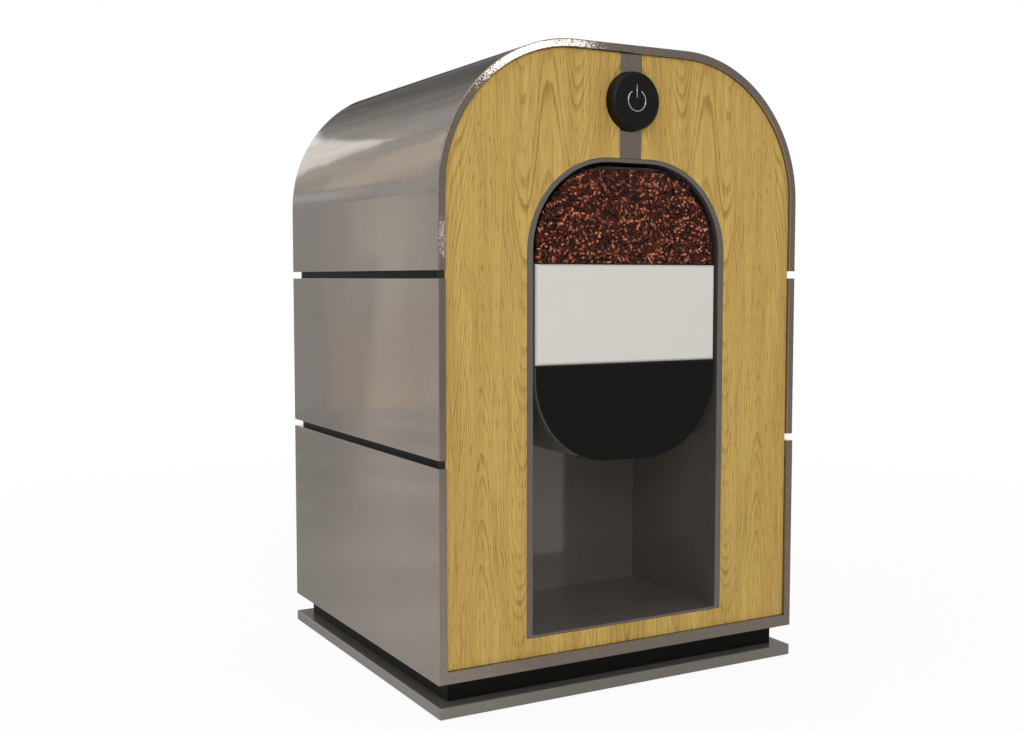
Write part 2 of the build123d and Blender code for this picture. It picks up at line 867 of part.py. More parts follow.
with BuildPart() as agitator_motor:
    with BuildSketch(upright(motor_front)):
        with Locations((0, agitator_height)):
            Circle(agitator_motor_radius)
    extrude(amount=-agitator_motor_length)
    with BuildSketch(upright(motor_front)):
        with Locations((0, agitator_height)):
            Circle(agitator_shaft_radius + running_fit)
    extrude(amount=-motor_socket_depth, mode=Mode.SUBTRACT)
    chamfer(agitator_motor.faces().sort_by(Axis.Y)[-1].edges(), motor_edge)
save(agitator_motor, "agitator_motor")

# Bean gate: a slide under the chamber's floor, with its pull rod
gate_size = gate_hole + 2 * gate_lap
rod_end = liner_rear + gate_rod_overlap
with BuildPart() as bean_gate:
    with BuildSketch(level(gate_z)):
        with Locations((burr_middle, gate_y)):
            Rectangle(gate_size, gate_size)
    extrude(amount=gate_thickness)
    with BuildSketch(upright(grinder_from_front + gate_size / 2 - cut_margin)):
        with Locations((burr_middle, gate_z + gate_thickness / 2)):
            Circle(gate_rod_radius)
    extrude(amount=-(rod_end - grinder_from_front - gate_size / 2 + cut_margin))
save(bean_gate, "bean_gate")

with BuildPart() as gate_solenoid:
    with BuildSketch(upright(liner_rear)):
        with Locations((burr_middle, gate_z + gate_thickness / 2)):
            Rectangle(solenoid_size, solenoid_size)
            Circle(gate_rod_radius + running_fit, mode=Mode.SUBTRACT)
    extrude(amount=-(gate_rod_overlap + gate_travel + sliding_fit))
save(gate_solenoid, "gate_solenoid")

# Hopper: a flange under the lid, a tapering mouth and a neck down into the chamber
hopper_top = lid_bottom - fit
hopper_neck_top = liner_top + hopper_neck_height
hopper_neck_bottom = pod_top - chamber_inset - chamber_wall
with BuildPart() as hopper_funnel:
    with BuildSketch(level(inner_top)):
        with Locations((0, lid_middle_y)):
            RectangleRounded(hopper_mouth_width, hopper_mouth_length, hopper_corner)
    with BuildSketch(level(hopper_neck_top)):
        with Locations((0, throat_y)):
            RectangleRounded(hopper_throat, hopper_throat, hopper_corner)
    loft()
    with BuildSketch(level(hopper_neck_top)):
        with Locations((0, throat_y)):
            RectangleRounded(hopper_throat, hopper_throat, hopper_corner)
    extrude(amount=hopper_neck_bottom - hopper_neck_top)
    with BuildSketch(level(inner_top)):
        with Locations((0, lid_middle_y)):
            Rectangle(lid_width, lid_length)
    extrude(amount=hopper_top - inner_top)
    with BuildSketch(level(inner_top)):
        with Locations((0, lid_middle_y)):
            RectangleRounded(hopper_mouth_width - 2 * hopper_wall, hopper_mouth_length - 2 * hopper_wall,
                             hopper_corner - hopper_wall)
    with BuildSketch(level(hopper_neck_top)):
        with Locations((0, throat_y)):
            RectangleRounded(hopper_throat - 2 * hopper_wall, hopper_throat - 2 * hopper_wall,
                             hopper_corner - hopper_wall)
    loft(mode=Mode.SUBTRACT)
    with BuildSketch(level(hopper_neck_top)):
        with Locations((0, throat_y)):
            RectangleRounded(hopper_throat - 2 * hopper_wall, hopper_throat - 2 * hopper_wall,
                             hopper_corner - hopper_wall)
    extrude(amount=hopper_neck_bottom - hopper_neck_top, mode=Mode.SUBTRACT)
    with BuildSketch(level(inner_top)):
        with Locations((0, lid_middle_y)):
            RectangleRounded(hopper_mouth_width - 2 * hopper_wall, hopper_mouth_length - 2 * hopper_wall,
                             hopper_corner - hopper_wall)
    extrude(amount=hopper_top - inner_top, mode=Mode.SUBTRACT)
save(hopper_funnel, "hopper_funnel")

# Hot air: a finned duct from the blower to the chamber's back
duct_end = rear_cover_front - scroll_rear_gap - 2 * scroll_radius
with BuildPart() as air_heater:
    with BuildSketch(upright(liner_rear)):
        with Locations((air_middle, duct_middle_z)):
            Rectangle(duct_width, duct_height)
            Rectangle(duct_width - 2 * duct_wall, duct_height - 2 * duct_wall, mode=Mode.SUBTRACT)
            with GridLocations((duct_width - 2 * duct_wall) / (heater_fin_count + 1), 0, heater_fin_count, 1):
                Rectangle(heater_fin_thickness, duct_height - duct_wall)
    extrude(amount=-(duct_end - liner_rear))
save(air_heater, "air_heater")

# Blower: a scroll whose outlet points forwards into the duct
scroll_y = front + duct_end + scroll_radius
scroll_z = duct_middle_z - duct_height / 2 + scroll_radius
scroll_plane = Plane.YZ.offset(air_middle - scroll_width / 2)
with BuildPart() as blower_housing:
    with BuildSketch(scroll_plane):
        with Locations((scroll_y, scroll_z)):
            Circle(scroll_radius)
        with Locations((scroll_y - scroll_radius / 2, duct_middle_z)):
            Rectangle(scroll_radius, duct_height)
    extrude(amount=scroll_width)
    with BuildSketch(scroll_plane.offset(scroll_wall)):
        with Locations((scroll_y, scroll_z)):
            Circle(scroll_radius - scroll_wall)
        with Locations((scroll_y - scroll_radius / 2, duct_middle_z)):
            Rectangle(scroll_radius, duct_height - 2 * scroll_wall)
    extrude(amount=scroll_width - 2 * scroll_wall, mode=Mode.SUBTRACT)
    with BuildSketch(scroll_plane):
        with Locations((scroll_y, scroll_z)):
            Circle(scroll_inlet_radius)
    extrude(amount=scroll_wall, mode=Mode.SUBTRACT)
    with BuildSketch(scroll_plane.offset(scroll_width - scroll_wall)):
        with Locations((scroll_y, scroll_z)):
            Circle(blower_shaft_radius + running_fit)
    extrude(amount=scroll_wall, mode=Mode.SUBTRACT)
save(blower_housing, "blower_housing")

wheel_plane = Plane.YZ.offset(air_middle - wheel_width / 2)
motor_face_x = air_middle + scroll_width / 2
with BuildPart() as blower_wheel:
    with BuildSketch(wheel_plane.offset(wheel_width - wheel_plate)):
        with Locations((scroll_y, scroll_z)):
            Circle(wheel_radius)
    extrude(amount=wheel_plate)
    with BuildSketch(wheel_plane):
        with Locations((scroll_y, scroll_z)):
            with PolarLocations(wheel_radius - wheel_blade_depth / 2, wheel_blade_count):
                Rectangle(wheel_blade_depth, wheel_blade_thickness, rotation=wheel_blade_angle)
    extrude(amount=wheel_width)
    with BuildSketch(wheel_plane.offset(wheel_width)):
        with Locations((scroll_y, scroll_z)):
            Circle(blower_shaft_radius)
    extrude(amount=motor_face_x + motor_socket_depth - running_fit - air_middle - wheel_width / 2)
save(blower_wheel, "blower_wheel")

with BuildPart() as blower_motor:
    with BuildSketch(Plane.YZ.offset(motor_face_x)):
        with Locations((scroll_y, scroll_z)):
            Circle(blower_motor_radius)
            Circle(blower_shaft_radius + running_fit, mode=Mode.SUBTRACT)
    extrude(amount=motor_socket_depth)
    with BuildSketch(Plane.YZ.offset(motor_face_x + motor_socket_depth)):
        with Locations((scroll_y, scroll_z)):
            Circle(blower_motor_radius)
    extrude(amount=blower_motor_length - motor_socket_depth)
    chamfer(blower_motor.faces().sort_by(Axis.X)[-1].edges(), motor_edge)
save(blower_motor, "blower_motor")

# Grinder housing: gear case, burr carrier and motor seat, standing on the lower shelf
grinder_floor = pod_joint_low + pod_shelf / 2
grinder_ceiling = pod_joint_high - pod_shelf / 2
gear_case_top = grinder_floor + gear_room + grinder_plate
grinder_y = front + grinder_from_front
centre_distance = gear_module * (gear_teeth + pinion_teeth) / 2
motor_x = burr_middle + centre_distance
carrier_radius = ring_radius + fit + carrier_wall
ring_seat = gear_case_top + sweep_height
chute_angle = degrees(atan2(chute_y - grinder_y, chute_x - burr_middle))
chute_reach = hypot(chute_x - burr_middle, chute_y - grinder_y)
grinder_width = 2 * (pod_half_width - pod_wall - fit)

with BuildPart() as grinder_housing:
    with BuildSketch(level(grinder_floor)):
        with Locations((0, grinder_y)):
            RectangleRounded(grinder_width, grinder_length, grinder_corner)
    extrude(amount=gear_room + grinder_plate)
    with BuildSketch(level(grinder_floor)):
        with Locations((0, grinder_y)):
            RectangleRounded(grinder_width - 2 * grinder_wall, grinder_length - 2 * grinder_wall,
                             grinder_corner - grinder_wall)
    extrude(amount=gear_room, mode=Mode.SUBTRACT)
    with BuildSketch(level(gear_case_top)):
        with Locations((burr_middle, grinder_y)):
            Circle(carrier_radius)
    extrude(amount=grinder_ceiling - gear_case_top - fit)
    with BuildSketch(level(gear_case_top)):
        with Locations((burr_middle, grinder_y)):
            Circle(burr_radius + burr_gap)
    extrude(amount=grinder_ceiling - gear_case_top, mode=Mode.SUBTRACT)
    with BuildSketch(level(ring_seat)):
        with Locations((burr_middle, grinder_y)):
            Circle(ring_radius + fit)
    extrude(amount=grinder_ceiling - ring_seat, mode=Mode.SUBTRACT)
    with BuildSketch(level(grinder_floor + gear_room)):
        with Locations((burr_middle, grinder_y)):
            Circle(burr_shaft_radius + running_fit)
        with Locations((motor_x, grinder_y)):
            Circle(motor_shaft_radius + running_fit)
        with Locations((chute_x, chute_y)):
            Rectangle(chute_outer + 2 * fit, chute_outer + 2 * fit)
    extrude(amount=grinder_plate, mode=Mode.SUBTRACT)
    exit_plane = turned(burr_middle, grinder_y, gear_case_top, chute_angle)
    exit_reach = carrier_radius + cut_margin
    with BuildSketch(exit_plane):
        with Locations((exit_reach / 2, 0)):
            Rectangle(exit_reach, chute_width)
    extrude(amount=sweep_height, mode=Mode.SUBTRACT)
save(grinder_housing, "grinder_housing")

# Conical burrs: the teeth twist round the cone, and the ring's teeth lie round them
burr_bottom = ring_seat
burr_top = burr_bottom + burr_height

with BuildPart() as inner_burr:
    with BuildSketch(turned(burr_middle, grinder_y, burr_bottom)):
        ToothedDisc(burr_radius, burr_tooth_count, burr_tooth_depth)
    with BuildSketch(turned(burr_middle, grinder_y, burr_top, burr_twist)):
        ToothedDisc(burr_top_radius, burr_tooth_count, burr_tooth_depth)
    loft(ruled=True)
    with BuildSketch(level(gear_case_top + fit)):
        with Locations((burr_middle, grinder_y)):
            Circle(burr_radius)
    extrude(amount=sweeper_thickness)
    with BuildSketch(level(gear_case_top + fit)):
        with Locations((burr_middle, grinder_y)):
            Circle(burr_radius - burr_tooth_depth - sweeper_step)
    extrude(amount=burr_bottom - gear_case_top - fit)
    with BuildSketch(level(gear_case_top)):
        with Locations((burr_middle, grinder_y)):
            Circle(burr_shaft_radius)
    extrude(amount=burr_top - gear_case_top + cut_margin, mode=Mode.SUBTRACT)
save(inner_burr, "inner_burr")

with BuildPart() as ring_burr:
    with BuildSketch(level(ring_seat)):
        with Locations((burr_middle, grinder_y)):
            Circle(ring_radius)
    extrude(amount=burr_height)
    with BuildSketch(level(ring_seat)):
        with Locations((burr_middle, grinder_y)):
            Circle(burr_radius + burr_gap)
    with BuildSketch(level(ring_seat + burr_height)):
        with Locations((burr_middle, grinder_y)):
            Circle(ring_mouth_radius)
    loft(mode=Mode.SUBTRACT)
save(ring_burr, "ring_burr")

# Reduction gear under the burr, driven by the motor's pinion
gear_bottom = grinder_floor + (gear_room - gear_face) / 2
with BuildPart() as burr_gear:
    with BuildSketch(turned(burr_middle, grinder_y, gear_bottom)):
        GearOutline(gear_teeth)
    extrude(amount=gear_face)
    with BuildSketch(level(grinder_floor + fit)):
        with Locations((burr_middle, grinder_y)):
            Circle(burr_shaft_radius)
    extrude(amount=burr_top - grinder_floor - fit)
save(burr_gear, "burr_gear")

pinion_turn = 180 + 180 / pinion_teeth
with BuildPart() as motor_pinion:
    with BuildSketch(turned(motor_x, grinder_y, gear_bottom, pinion_turn)):
        GearOutline(pinion_teeth)
    extrude(amount=gear_face)
    with BuildSketch(level(grinder_floor + fit)):
        with Locations((motor_x, grinder_y)):
            Circle(motor_shaft_radius)
    extrude(amount=gear_case_top + motor_socket_depth - running_fit - grinder_floor - fit)
save(motor_pinion, "motor_pinion")

with BuildPart() as grinder_motor:
    with BuildSketch(level(gear_case_top)):
        with Locations((motor_x, grinder_y)):
            Circle(motor_radius)
    extrude(amount=motor_height)
    with BuildSketch(level(gear_case_top)):
        with Locations((motor_x, grinder_y)):
            Circle(motor_shaft_radius + running_fit)
    extrude(amount=motor_socket_depth, mode=Mode.SUBTRACT)
    chamfer(grinder_motor.faces().sort_by(Axis.Z)[-1].edges(), motor_edge)
save(grinder_motor, "grinder_motor")

# Chute: leads the grounds from the burrs over the gears and down into the basket
chute_bottom = pod_joint_low - pod_shelf / 2 - chute_drop
chute_plane = turned(burr_middle, grinder_y, gear_case_top + fit, chute_angle)
chute_start = carrier_radius + fit
chute_run = chute_reach - chute_start
with BuildPart() as grounds_chute:
    with BuildSketch(chute_plane):
        with Locations((chute_start + chute_run / 2, 0)):
            Rectangle(chute_run, chute_outer)
    extrude(amount=chute_height + 2 * chute_wall)
    with BuildSketch(level(chute_bottom)):
        with Locations((chute_x, chute_y)):
            Rectangle(chute_outer, chute_outer)
    extrude(amount=gear_case_top + fit + chute_height + 2 * chute_wall - chute_bottom)
    with BuildSketch(chute_plane.offset(chute_wall)):
        with Locations((chute_start + chute_run / 2, 0)):
            Rectangle(chute_run, chute_width)
    extrude(amount=chute_height, mode=Mode.SUBTRACT)
    with BuildSketch(level(chute_bottom)):
        with Locations((chute_x, chute_y)):
            Rectangle(chute_width, chute_width)
    extrude(amount=gear_case_top + fit + chute_height + chute_wall - chute_bottom, mode=Mode.SUBTRACT)
save(grounds_chute, "grounds_chute")

# Shower head: hollow disc with a ring of holes, fed from the rear
with BuildPart() as shower_head:
    with BuildSketch(level(shower_height_low)):
        with Locations((0, basket_y)):
            Circle(shower_radius)
    extrude(amount=shower_height)
    with BuildSketch(Plane.XZ.offset(-basket_y)):
        with Locations((0, shower_inlet_z)):
            Circle(shower_inlet_radius)
    extrude(amount=-shower_inlet_length)
    with BuildSketch(level(shower_height_low + shower_wall)):
        with Locations((0, basket_y)):
            Circle(shower_radius - shower_wall)
    extrude(amount=shower_height - 2 * shower_wall, mode=Mode.SUBTRACT)
    with BuildSketch(Plane.XZ.offset(-basket_y)):
        with Locations((0, shower_inlet_z)):
            Circle(shower_inlet_bore)
    extrude(amount=-shower_inlet_length, mode=Mode.SUBTRACT)
    with BuildSketch(level(shower_height_low)):
        with Locations((0, basket_y)):
            with PolarLocations(shower_hole_circle, shower_hole_count):
                RegularPolygon(shower_hole_radius, 6)
    extrude(amount=shower_wall, mode=Mode.SUBTRACT)
save(shower_head, "shower_head")

# Brewing drawer: the carrier plate slides on the rails and holds the basket
carrier_below_round = pod_bottom + pod_radius - carrier_height
carrier_round_reach = ((pod_radius - pod_wall) ** 2 - carrier_below_round ** 2) ** 0.5
carrier_half_width = pod_half_width - pod_radius + carrier_round_reach - carrier_side_gap
with BuildPart() as basket_carrier:
    with BuildSketch(level(carrier_height)):
        with Locations((0, front + (pod_front_back + niche_depth - sliding_fit) / 2)):
            Rectangle(2 * carrier_half_width, niche_depth - sliding_fit - pod_front_back)
        with Locations((0, basket_y)):
            Circle(basket_radius + fit, mode=Mode.SUBTRACT)
    extrude(amount=carrier_thickness)
save(basket_carrier, "basket_carrier")

basket_bottom = flange_top - basket_height
outlet_bottom = basket_bottom - basket_outlet_length
basket_slope = (basket_radius - basket_bottom_radius) / (flange_bottom - basket_bottom)
rib_top = flange_bottom - basket_rib_below_rim
rib_top_radius = basket_radius - basket_rib_below_rim * basket_slope
with BuildPart() as filter_basket:
    with BuildSketch(Plane.XZ.offset(-basket_y)):
        with BuildLine():
            Polyline(
                (basket_outlet_bore, outlet_bottom),
                (basket_outlet_radius, outlet_bottom),
                (basket_outlet_radius, basket_bottom),
                (basket_bottom_radius, basket_bottom),
                (basket_radius, flange_bottom),
                (basket_radius + basket_flange, flange_bottom),
                (basket_radius + basket_flange, flange_top),
                (basket_radius - basket_wall, flange_top),
                (basket_bottom_radius - basket_wall, basket_bottom + basket_wall),
                (basket_outlet_bore, basket_bottom + basket_wall),
                close=True,
            )
        make_face()
    revolve(axis=Axis((0, basket_y, 0), (0, 0, 1)))
    for index in range(basket_rib_count):
        angle = 2 * pi * index / basket_rib_count
        rib_plane = Plane(origin=(0, basket_y, 0), x_dir=(cos(angle), sin(angle), 0),
                          z_dir=(sin(angle), -cos(angle), 0))
        with BuildSketch(rib_plane):
            with BuildLine():
                Polyline(
                    (basket_bottom_radius - basket_wall - basket_rib_depth, basket_bottom + basket_wall / 2),
                    (basket_bottom_radius - basket_wall / 2, basket_bottom + basket_wall / 2),
                    (rib_top_radius - basket_wall / 2, rib_top),
                    (rib_top_radius - basket_wall - basket_rib_depth, rib_top),
                    close=True,
                )
            make_face()
        extrude(amount=basket_rib_width / 2, both=True)
save(filter_basket, "filter_basket")

# Spout under the pod
spout_top = pod_bottom + pod_wall + spout_flange_thickness
with BuildPart() as coffee_spout:
    with BuildSketch(level(pod_bottom + pod_wall)):
        with Locations((0, basket_y)):
            Circle(spout_flange_radius)
    extrude(amount=spout_flange_thickness)
    with BuildSketch(level(pod_bottom - spout_drop)):
        with Locations((0, basket_y)):
            Circle(spout_radius)
    extrude(amount=spout_drop + pod_wall)
    with BuildSketch(level(pod_bottom - spout_drop)):
        with Locations((0, basket_y)):
            Circle(spout_bore)
    extrude(amount=spout_top - pod_bottom + spout_drop, mode=Mode.SUBTRACT)
save(coffee_spout, "coffee_spout")

# Water tank: pulls out to the rear by the grip cup set in its back, flush with the rear cover
casing_floor = inner_bottom + fit + casing_wall
tank_bottom = casing_floor + tank_lift
tank_top = tank_bottom + tank_height
tank_rear_y = front + rear_cover_front + rear_cover_thickness
tank_front_y = tank_rear_y - tank_depth
tank_middle_y = tank_rear_y - tank_depth / 2
grip_z = tank_top - grip_below_top - grip_height / 2
nipple_z = tank_bottom + nipple_height

with BuildPart() as water_tank:
    with BuildSketch(level(tank_bottom)):
        with Locations((0, tank_middle_y)):
            RectangleRounded(tank_width, tank_depth, tank_corner)
    extrude(amount=tank_height)
    with BuildSketch(level(tank_bottom + tank_wall)):
        with Locations((0, tank_middle_y)):
            RectangleRounded(tank_width - 2 * tank_wall, tank_depth - 2 * tank_wall, tank_corner - tank_wall)
    extrude(amount=tank_height - tank_wall, mode=Mode.SUBTRACT)
    with BuildSketch(Plane.XZ.offset(-tank_rear_y)):
        with Locations((0, grip_z)):
            RectangleRounded(grip_width + 2 * tank_wall, grip_height + 2 * tank_wall, tank_corner)
    extrude(amount=tank_wall, mode=Mode.SUBTRACT)
    with BuildSketch(Plane.XZ.offset(-tank_front_y)):
        with Locations((0, nipple_z)):
            Circle(nipple_radius)
    extrude(amount=nipple_length)
    with BuildSketch(Plane.XZ.offset(-(tank_front_y - nipple_length))):
        with Locations((0, nipple_z)):
            Circle(nipple_bore)
    extrude(amount=-(nipple_length + tank_wall), mode=Mode.SUBTRACT)
save(water_tank, "water_tank")

with BuildPart() as tank_handle:
    with BuildSketch(Plane.XZ.offset(-tank_rear_y)):
        with Locations((0, grip_z)):
            RectangleRounded(grip_width + 2 * tank_wall, grip_height + 2 * tank_wall, tank_corner)
    extrude(amount=grip_depth + tank_wall)
    with BuildSketch(Plane.XZ.offset(-tank_rear_y)):
        with Locations((0, grip_z)):
            RectangleRounded(grip_width, grip_height, tank_corner - tank_wall)
    extrude(amount=grip_depth, mode=Mode.SUBTRACT)
save(tank_handle, "tank_handle")

# Dock: carries the tank on the casing's floor and holds the socket for its nipple
dock_front_y = tank_front_y - sliding_fit - dock_front_thickness
dock_rear_y = front + rear_cover_front
dock_half_width = tank_width / 2
with BuildPart() as tank_dock:
    with BuildSketch(Plane.YZ.offset(-dock_half_width)):
        with BuildLine():
            Polyline(
                (dock_front_y, casing_floor),
                (dock_front_y, tank_bottom + dock_front_height),
                (dock_front_y + dock_front_thickness, tank_bottom + dock_front_height),
                (dock_front_y + dock_front_thickness, tank_bottom - sliding_fit),
                (dock_rear_y, tank_bottom - sliding_fit),
                (dock_rear_y, casing_floor),
                close=True,
            )
        make_face()
    extrude(amount=2 * dock_half_width)
    with BuildSketch(Plane.YZ.offset(-dock_half_width + dock_wall)):
        with BuildLine():
            Polyline(
                (dock_front_y + dock_wall, casing_floor),
                (dock_front_y + dock_wall, tank_bottom - sliding_fit - dock_wall),
                (dock_rear_y - dock_wall, tank_bottom - sliding_fit - dock_wall),
                (dock_rear_y - dock_wall, casing_floor),
                close=True,
            )
        make_face()
    extrude(amount=2 * (dock_half_width - dock_wall), mode=Mode.SUBTRACT)
    with BuildSketch(Plane.XZ.offset(-(dock_front_y + dock_front_thickness))):
        with Locations((0, nipple_z)):
            Circle(nipple_radius + sliding_fit)
    extrude(amount=nipple_length + sliding_fit, mode=Mode.SUBTRACT)
    with BuildSketch(Plane.XZ.offset(-dock_front_y)):
        with Locations((0, nipple_z)):
            Circle(stub_radius)
    extrude(amount=stub_length)
    with BuildSketch(Plane.XZ.offset(-(dock_front_y - stub_length))):
        with Locations((0, nipple_z)):
            Circle(hose_bore)
    extrude(amount=-(dock_front_thickness + stub_length), mode=Mode.SUBTRACT)
save(tank_dock, "tank_dock")

# Pump on its saddle, across the body, level with the dock's outlet
pump_y = (front + liner_rear + dock_front_y) / 2
pump_z = nipple_z
with BuildPart() as water_pump:
    with BuildSketch(Plane.YZ.offset(pump_middle - pump_length / 2)):
        with Locations((pump_y, pump_z)):
            Circle(pump_radius)
    extrude(amount=pump_length)
    with BuildSketch(Plane.YZ.offset(pump_middle - pump_length / 4)):
        with Locations((pump_y, (casing_floor + pump_z) / 2)):
            Rectangle(pump_saddle_width, pump_z - casing_floor)
    extrude(amount=pump_length / 2)
    with BuildSketch(Plane.YZ.offset(pump_middle - pump_length / 2 - stub_length)):
        with Locations((pump_y, pump_z)):
            Circle(stub_radius)
    extrude(amount=pump_length + 2 * stub_length)
save(water_pump, "water_pump")

# Water heater: upright cylinder on feet, filled low down and emptied near its top
casing_inner_x = inner_half_width - fit - casing_wall
heater_middle = casing_inner_x - heater_wall_gap - heater_radius
heater_bottom = casing_floor + heater_stand
heater_top = heater_bottom + heater_length
heater_high_z = heater_top - heater_stub_from_end
with BuildPart() as water_heater:
    with BuildSketch(level(heater_bottom)):
        with Locations((heater_middle, pump_y)):
            Circle(heater_radius)
    extrude(amount=heater_length)
    chamfer(water_heater.edges().group_by(Axis.Z)[-1], heater_edge)
    with BuildSketch(level(casing_floor)):
        with Locations((heater_middle, pump_y)):
            with PolarLocations(heater_radius - heater_foot_inset, heater_foot_count):
                Circle(heater_foot_radius)
    extrude(amount=heater_stand)
    with BuildSketch(Plane.YZ.offset(heater_middle)):
        with Locations((pump_y, pump_z), (pump_y, heater_high_z)):
            Circle(stub_radius)
    extrude(amount=-(heater_radius + stub_length))
save(water_heater, "water_heater")

# Hoses, from stub to stub
dock_stub_y = dock_front_y - stub_length
pump_left_x = pump_middle - pump_length / 2 - stub_length
pump_right_x = pump_middle + pump_length / 2 + stub_length
heater_stub_x = heater_middle - heater_radius - stub_length
shower_inlet_y = basket_y + shower_inlet_length

with BuildPart() as supply_hose:
    with BuildLine() as route:
        FilletPolyline((0, dock_stub_y, nipple_z), (0, pump_y, pump_z), (pump_left_x, pump_y, pump_z),
                       radius=hose_bend)
    with BuildSketch(Plane(origin=(0, dock_stub_y, nipple_z), z_dir=(0, -1, 0))):
        Circle(hose_radius)
        Circle(hose_bore, mode=Mode.SUBTRACT)
    sweep(path=route.line)
save(supply_hose, "supply_hose")

with BuildPart() as pressure_hose:
    with BuildSketch(Plane.YZ.offset(pump_right_x)):
        with Locations((pump_y, pump_z)):
            Circle(hose_radius)
            Circle(hose_bore, mode=Mode.SUBTRACT)
    extrude(amount=heater_stub_x - pump_right_x)
save(pressure_hose, "pressure_hose")

brew_hose_drop_x = heater_stub_x - brew_hose_run
with BuildPart() as brew_hose:
    with BuildLine() as route:
        FilletPolyline(
            (0, shower_inlet_y, shower_inlet_z),
            (0, pump_y, shower_inlet_z),
            (brew_hose_drop_x, pump_y, shower_inlet_z),
            (brew_hose_drop_x, pump_y, heater_high_z),
            (heater_stub_x, pump_y, heater_high_z),
            radius=hose_bend,
        )
    with BuildSketch(Plane(origin=(0, shower_inlet_y, shower_inlet_z), z_dir=(0, 1, 0))):
        Circle(hose_radius)
        Circle(hose_bore, mode=Mode.SUBTRACT)
    sweep(path=route.line)
save(brew_hose, "brew_hose")

# Control board on standoffs from the casing's right wall, with its transformer, relays and capacitors
board_x = casing_inner_x - board_standoff
board_y = front + rear_cover_front - board_rear_gap - board_length / 2
board_z = board_bottom + board_height / 2
board_face = Plane.YZ.offset(board_x - board_thickness)
with BuildPart() as control_board:
    with BuildSketch(Plane.YZ.offset(board_x)):
        with Locations((board_y, board_z)):
            Rectangle(board_length, board_height)
    extrude(amount=-board_thickness)
    with BuildSketch(Plane.YZ.offset(board_x)):
        with Locations((board_y, board_z)):
            with GridLocations(board_length - 2 * board_corner_inset,
                               board_height - 2 * board_corner_inset, 2, 2):
                Circle(board_standoff_radius)
    extrude(amount=board_standoff)
    with BuildSketch(board_face):
        with Locations((board_y - transformer_forward, board_z + transformer_rise)):
            Rectangle(transformer_length, transformer_height)
    extrude(amount=-transformer_depth)
    with BuildSketch(board_face):
        with Locations((board_y + relay_back, board_z + relay_rise)):
            with GridLocations(0, relay_pitch, 1, 2):
                Rectangle(relay_length, relay_height)
    extrude(amount=-relay_depth)
    with BuildSketch(board_face):
        with Locations((board_y - capacitor_forward, board_z - capacitor_drop)):
            with GridLocations(capacitor_pitch, 0, 2, 1):
                Circle(capacitor_radius)
    extrude(amount=-capacitor_length)
save(control_board, "control_board")

# Rear cover with air slots, the tank's opening, the inlet's and the screw holes
tank_opening_width = tank_width + 2 * sliding_fit
tank_opening_height = tank_height + 2 * sliding_fit
with BuildPart() as rear_cover:
    with BuildSketch(upright(rear_cover_front)):
        Inside(cover_clearance)
        with Locations((0, tank_bottom + tank_height / 2)):
            Rectangle(tank_opening_width, tank_opening_height, mode=Mode.SUBTRACT)
        with Locations((inlet_x, inlet_z)):
            Rectangle(inlet_width + 2 * fit, inlet_height + 2 * fit, mode=Mode.SUBTRACT)
        with Locations((0, slot_middle)):
            with GridLocations(0, slot_pitch, 1, slot_count):
                SlotOverall(slot_length, slot_height, mode=Mode.SUBTRACT)
        with Locations(*screw_places):
            Circle(screw_radius, mode=Mode.SUBTRACT)
    extrude(amount=-rear_cover_thickness)
    with BuildSketch(upright(rear_cover_front + rear_cover_thickness)):
        with Locations(*screw_places):
            Circle(screw_head_radius + fit)
    extrude(amount=screw_head_height, mode=Mode.SUBTRACT)
save(rear_cover, "rear_cover")

with BuildPart() as cover_screws:
    with BuildSketch(upright(rear_cover_front + rear_cover_thickness)):
        with Locations(*screw_places):
            Circle(screw_head_radius)
    extrude(amount=screw_head_height)
    with BuildSketch(upright(rear_cover_front + rear_cover_thickness)):
        with Locations(*screw_places):
            Circle(screw_radius - running_fit)
    extrude(amount=screw_length)
save(cover_screws, "cover_screws")

# Appliance inlet: flange, socket and three pins
inlet_face = rear_cover_front + rear_cover_thickness
with BuildPart() as power_inlet:
    with BuildSketch(upright(inlet_face)):
        with Locations((inlet_x, inlet_z)):
            RectangleRounded(inlet_width + 2 * inlet_flange, inlet_height + 2 * inlet_flange, inlet_corner)
    extrude(amount=-inlet_flange_thickness)
    with BuildSketch(upright(inlet_face)):
        with Locations((inlet_x, inlet_z)):
            Rectangle(inlet_width, inlet_height)
    extrude(amount=inlet_depth)
    with BuildSketch(upright(inlet_face + inlet_flange_thickness)):
        with Locations((inlet_x, inlet_z)):
            Rectangle(inlet_width - 2 * inlet_wall, inlet_height - 2 * inlet_wall)
    extrude(amount=inlet_flange_thickness + inlet_depth - inlet_wall, mode=Mode.SUBTRACT)
    with BuildSketch(upright(inlet_face - inlet_depth + inlet_wall)):
        with Locations((inlet_x - inlet_pin_pitch, inlet_z + inlet_pin_rise),
                       (inlet_x + inlet_pin_pitch, inlet_z + inlet_pin_rise),
                       (inlet_x, inlet_z - inlet_earth_drop)):
            Rectangle(inlet_pin_width, inlet_pin_height)
    extrude(amount=-inlet_pin_length)
save(power_inlet, "power_inlet")
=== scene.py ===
"""Studio scene of the roast-grind-brew coffee maker.

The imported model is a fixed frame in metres: +Z is up and the front faces -Y. Every node gets a procedural finish.
The loose beans, the mark on the button and the screw heads are modelled as new pieces. A camera and soft lights
stand at the photograph's viewing angle.
"""

import logging
import math
import random
from abc import ABC, abstractmethod
from dataclasses import dataclass
from enum import Enum
from typing import ClassVar, Iterator, Sequence, Union

import bmesh
import bpy
from mathutils import Euler, Matrix, Vector

